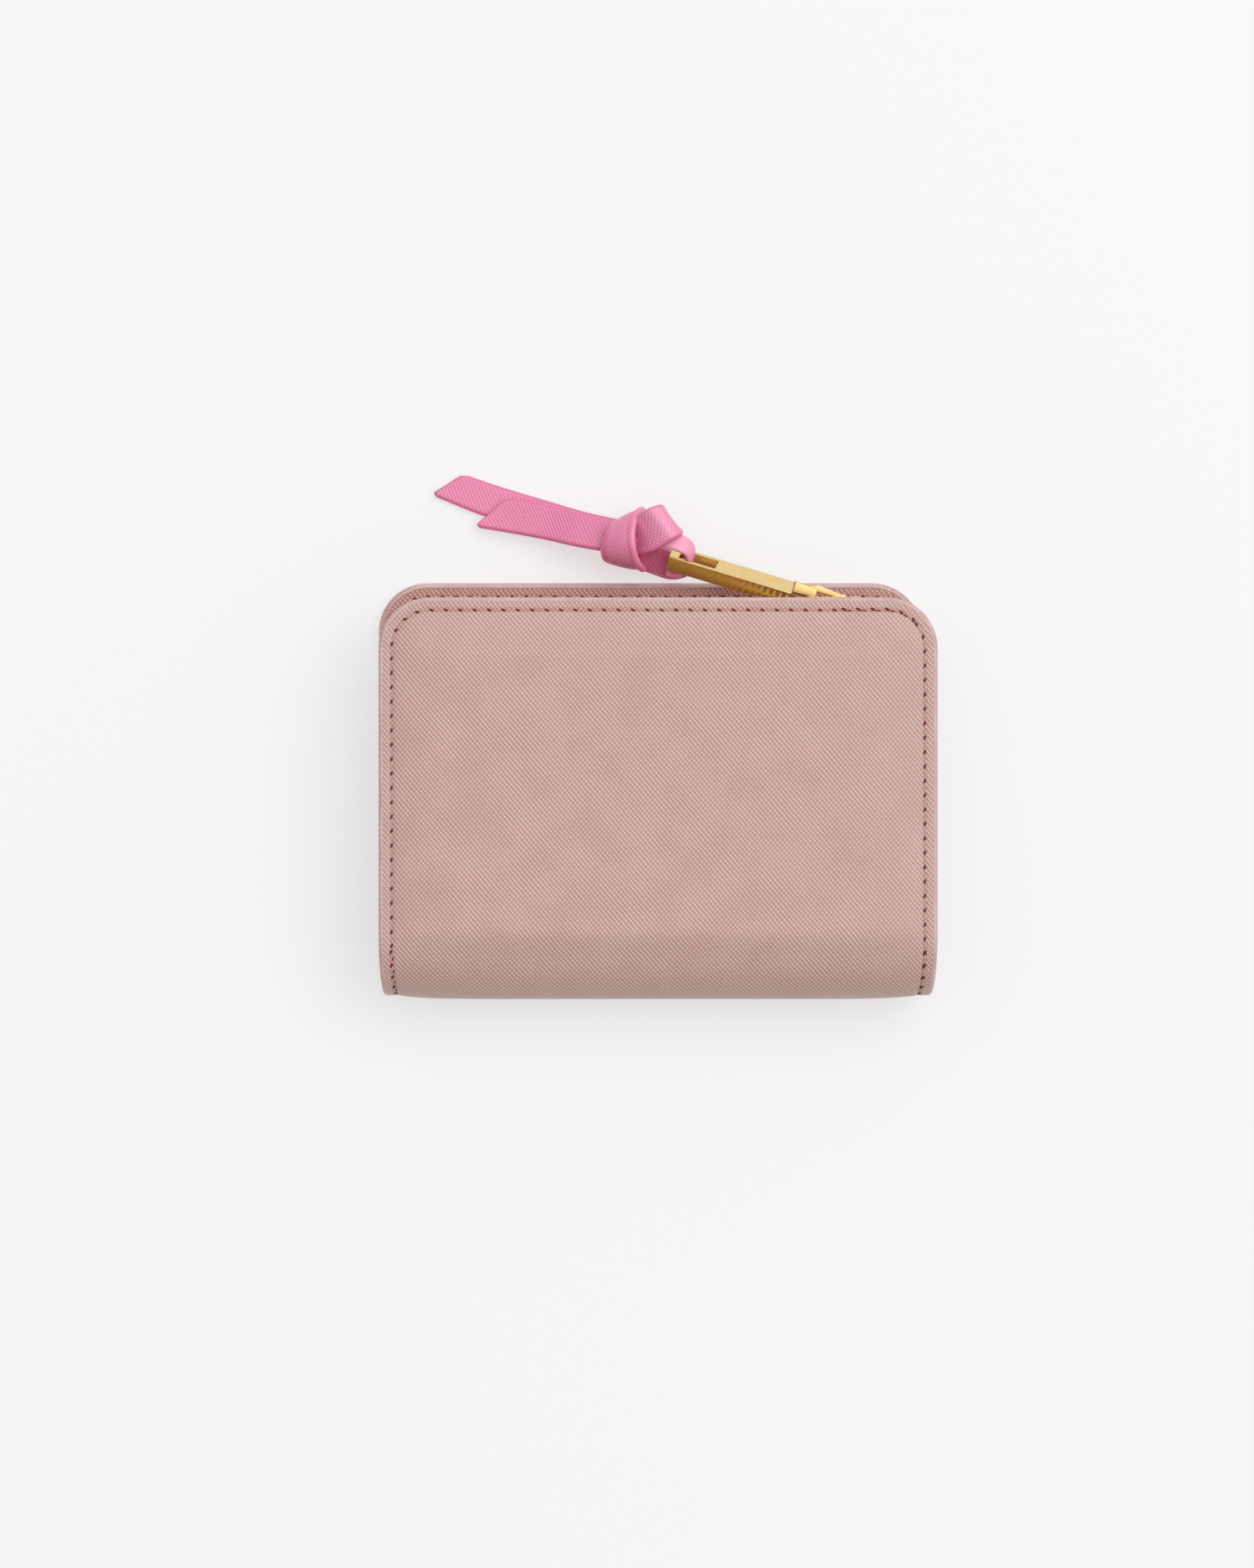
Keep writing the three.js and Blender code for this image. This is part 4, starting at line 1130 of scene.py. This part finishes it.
def bevelled(node, width):
    """A frame node's own shape with softened arrises: its triangles are merged into flat faces
    and every sharp edge is rounded."""
    source = frame["nodes"][node].data
    data = bpy.data.meshes.new(node + "_polished")
    work = bmesh.new()
    work.from_mesh(source)
    bmesh.ops.remove_doubles(work, verts=work.verts[:], dist=2e-6)
    bmesh.ops.dissolve_limit(work, angle_limit=math.radians(1.5), verts=work.verts[:], edges=work.edges[:])
    bmesh.ops.recalc_face_normals(work, faces=work.faces[:])
    work.to_mesh(data)
    work.free()
    data.materials.clear()
    data.materials.append(GOLD)
    data.polygons.foreach_set("use_smooth", np.ones(len(data.polygons), bool))
    piece = bpy.data.objects.new(node + "_polished", data)
    bpy.context.scene.collection.objects.link(piece)
    bevel = piece.modifiers.new("Arris", "BEVEL")
    bevel.width = width * MM
    bevel.segments = 3
    bevel.limit_method = "ANGLE"
    bevel.angle_limit = math.radians(28)
    bevel.harden_normals = True
    bevel.use_clamp_overlap = True
    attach(piece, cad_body(node))
    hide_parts(node)


def add_gold():
    """The slider, stops and snap from the frame's own shapes, then the puller and the bridge."""
    for node, width in (("zip_slider", 0.14), ("zip_top_stop_outer", 0.12),
                        ("zip_top_stop_inner", 0.12), ("zip_bottom_stop", 0.14), ("snap_stud", 0.14),
                        ("snap_socket", 0.12)):
        bevelled(node, width)
    add_bar()
    add_puller_eye()
    add_bridge()


def joint_named(name):
    """The frame's joint of that name."""
    return next(joint for joint in frame["joints"] if joint["name"] == name)


def plate(name, path, half_widths, low_z, high_z, arris=0.22):
    """A flat plate along a path in the level plane: rounded-rectangle sections whose half-width
    changes along it, closed at both ends."""
    path = np.asarray(path, float)
    along = unit(np.gradient(path, axis=0))
    side = np.stack([-along[:, 1], along[:, 0], 0 * along[:, 0]], -1)
    up = np.tile([0, 0, 1.0], (len(path), 1))
    half_z = (high_z - low_z) / 2
    angle = np.radians(np.array([0, 30, 60, 90]))
    corner = np.stack([np.cos(angle) - 1, np.sin(angle) - 1], -1) * arris
    corners = []
    for sx, sz, turned in ((1, 1, False), (-1, 1, True), (-1, -1, False), (1, -1, True)):
        part = corner[::-1] if turned else corner
        across = sx * (half_widths[:, None] + part[None, :, 0])
        corners.append(np.stack([across, np.broadcast_to(sz * (half_z + part[:, 1]), across.shape)], -1))
    section = np.concatenate(corners, 1)
    centre = path + [0, 0, (low_z + high_z) / 2]
    return sweep(name, centre, side, up, section)


def rounded_rectangle(u0, u1, v0, v1, radius, steps=6, corner_steps=5):
    """An outline with rounded corners, anticlockwise from the low right corner, with as many
    points on each side and corner whatever its size; and the direction out at each point."""
    points, outs, corners = [], [], []
    centres = ((u1 - radius, v0 + radius, -90), (u1 - radius, v1 - radius, 0),
               (u0 + radius, v1 - radius, 90), (u0 + radius, v0 + radius, 180))
    for index, (cu, cv, turn) in enumerate(centres):
        angle = np.radians(turn + np.linspace(0, 90, corner_steps))
        out = np.stack([np.cos(angle), np.sin(angle)], -1)
        points.append(np.array([cu, cv]) + radius * out)
        outs.append(out)
        corners.append(np.arange(corner_steps) < corner_steps - 1)
        nu, nv, _ = centres[(index + 1) % 4]
        end = np.array([nu, nv]) + radius * out[-1]
        share = np.linspace(0, 1, steps + 1)[1:-1, None]
        points.append(points[-1][-1] * (1 - share) + end * share)
        outs.append(np.repeat(out[-1:], steps - 1, 0))
        corners.append(np.zeros(steps - 1, bool))
    return np.concatenate(points), np.concatenate(outs), np.concatenate(corners)


def bar_basis():
    """The pin's place and the bar's directions: along it, across its slotted face and out of its
    back, found from the two joints it hangs between."""
    pin = np.array(joint_named("puller_swing")["pos_m"]) / MM
    hook = np.array(joint_named("strap_swing")["pos_m"]) / MM
    across = unit(np.array(joint_named("strap_swing")["axis"], float))
    reach = EYE_REACH + BAR_LONG - SLOT_END_WALL / 2
    along = unit(reach * (hook - pin) - BAR_THICK / 2 * np.cross(hook - pin, across))
    return pin, along, across, np.cross(along, across)


def add_bar():
    """The slotted bar: a profile of flats and rounded arrises carried round its outline and back
    through the slot, so each turn of the grid goes up the side, over the face, down the slot
    and back under. Its back slopes up to a thin toe at the eye."""
    pin, along, across, out = bar_basis()
    outer, outer_way, turning = rounded_rectangle(0, BAR_LONG + BAR_HOOK, -BAR_WIDE / 2, BAR_WIDE / 2, 0.35)
    slot_end = BAR_LONG - SLOT_END_WALL
    inner, inner_way, _ = rounded_rectangle(slot_end - SLOT_LONG, slot_end, -BAR_WIDE / 2 + SLOT_RAIL,
                                            BAR_WIDE / 2 - SLOT_RAIL, 0.3)
    angle = np.radians([0, 25, 50, 70, 90])
    side, rise = BAR_ARRIS * (1 - np.cos(angle)), BAR_ARRIS * (1 - np.sin(angle))
    columns, flat = [], []
    turns = ((outer, -outer_way, False, range(4, -1, -1)), (outer, -outer_way, True, range(5)),
             (inner, inner_way, True, range(4, -1, -1)), (inner, inner_way, False, range(5)))
    for outline, way, on_face, order in turns:
        for k in order:
            place = outline + side[k] * way
            thick = BAR_TOE + (BAR_THICK - BAR_TOE) * np.clip(place[:, 0] / BAR_TOE_LONG, 0, 1)
            depth = rise[k] + 0 * thick if on_face else thick - rise[k]
            columns.append(pin + (EYE_REACH + place[:, :1]) * along + place[:, 1:] * across
                           + depth[:, None] * out)
            flat.append(len(columns) % 5 == 0)
    grid = np.stack(columns, 1)
    blank = np.zeros((*grid.shape[:2], 2))
    bar = closed_tube("puller_bar_polished", grid, blank, blank, ring=True)
    flats = np.array(flat)[None] & (~turning[:, None] | (np.arange(20) % 10 == 9)[None])
    bar.data.polygons.foreach_set("use_smooth", ~flats.ravel())
    finish(bar, GOLD)
    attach(bar, "puller")
    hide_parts("puller_bar")


def add_bridge():
    """The slider's bridge: a flat rail that rises from the left, bends over the puller's pin and
    runs down to the plate on the right, thicker than the frame's so that its arrises show."""
    low, high = box_mm("zip_slider")
    top = high[1]
    middle = (low[2] + high[2]) / 2
    left = low[0] + 0.05
    line = spline_at([(left, top - 2.2, 0), (left + 0.1, top - 1.3, 0), (left + 0.55, top - 0.62, 0),
                        (left + 1.5, top - 0.5, 0), (left + 2.9, top - 0.85, 0), (left + 5.2, top - 1.55, 0),
                        (left + 7.6, top - 2.3, 0)], np.linspace(0, 1, 50))
    rail = plate("slider_bridge", line, np.full(50, 0.55), middle - 1.3, middle + 1.3, 0.2)
    finish(rail, GOLD_EYE)
    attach(rail, "zip_slider")


def add_puller_eye():
    """Two cheeks that widen the puller's eye, above and below the bridge: each runs from the bar's
    end, narrows a little and closes in a round end past the pin."""
    pin, along, _, _ = bar_basis()
    heading = unit(along * [1, 1, 0])
    t = np.concatenate([np.linspace(-0.6, -0.2, 6), np.linspace(0.1, 4.4, 12)])
    half = np.where(t < 0, 1.05 * np.sqrt(np.clip(1 - (np.clip(t, -1, 0) / 0.62) ** 2, 0.03, 1)),
                    1.05 + 0.15 * smoothstep(t / 4.4))
    path = pin * [1, 1, 0] + t[:, None] * heading
    for label, low, high in (("upper", 1.45, 2.45), ("lower", -2.45, -1.45)):
        cheek = plate(f"puller_eye_{label}", path, half, pin[2] + low, pin[2] + high)
        finish(cheek, GOLD_EYE)
        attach(cheek, "puller")


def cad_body(node):
    """The body that a frame node rides on."""
    return next(name for name, body in frame["bodies"].items() if frame["nodes"][node].parent == body)


add_camera()
add_light_and_world()
add_floor()
add_covers()
add_inside()
add_zip()
add_strap()
add_gold()
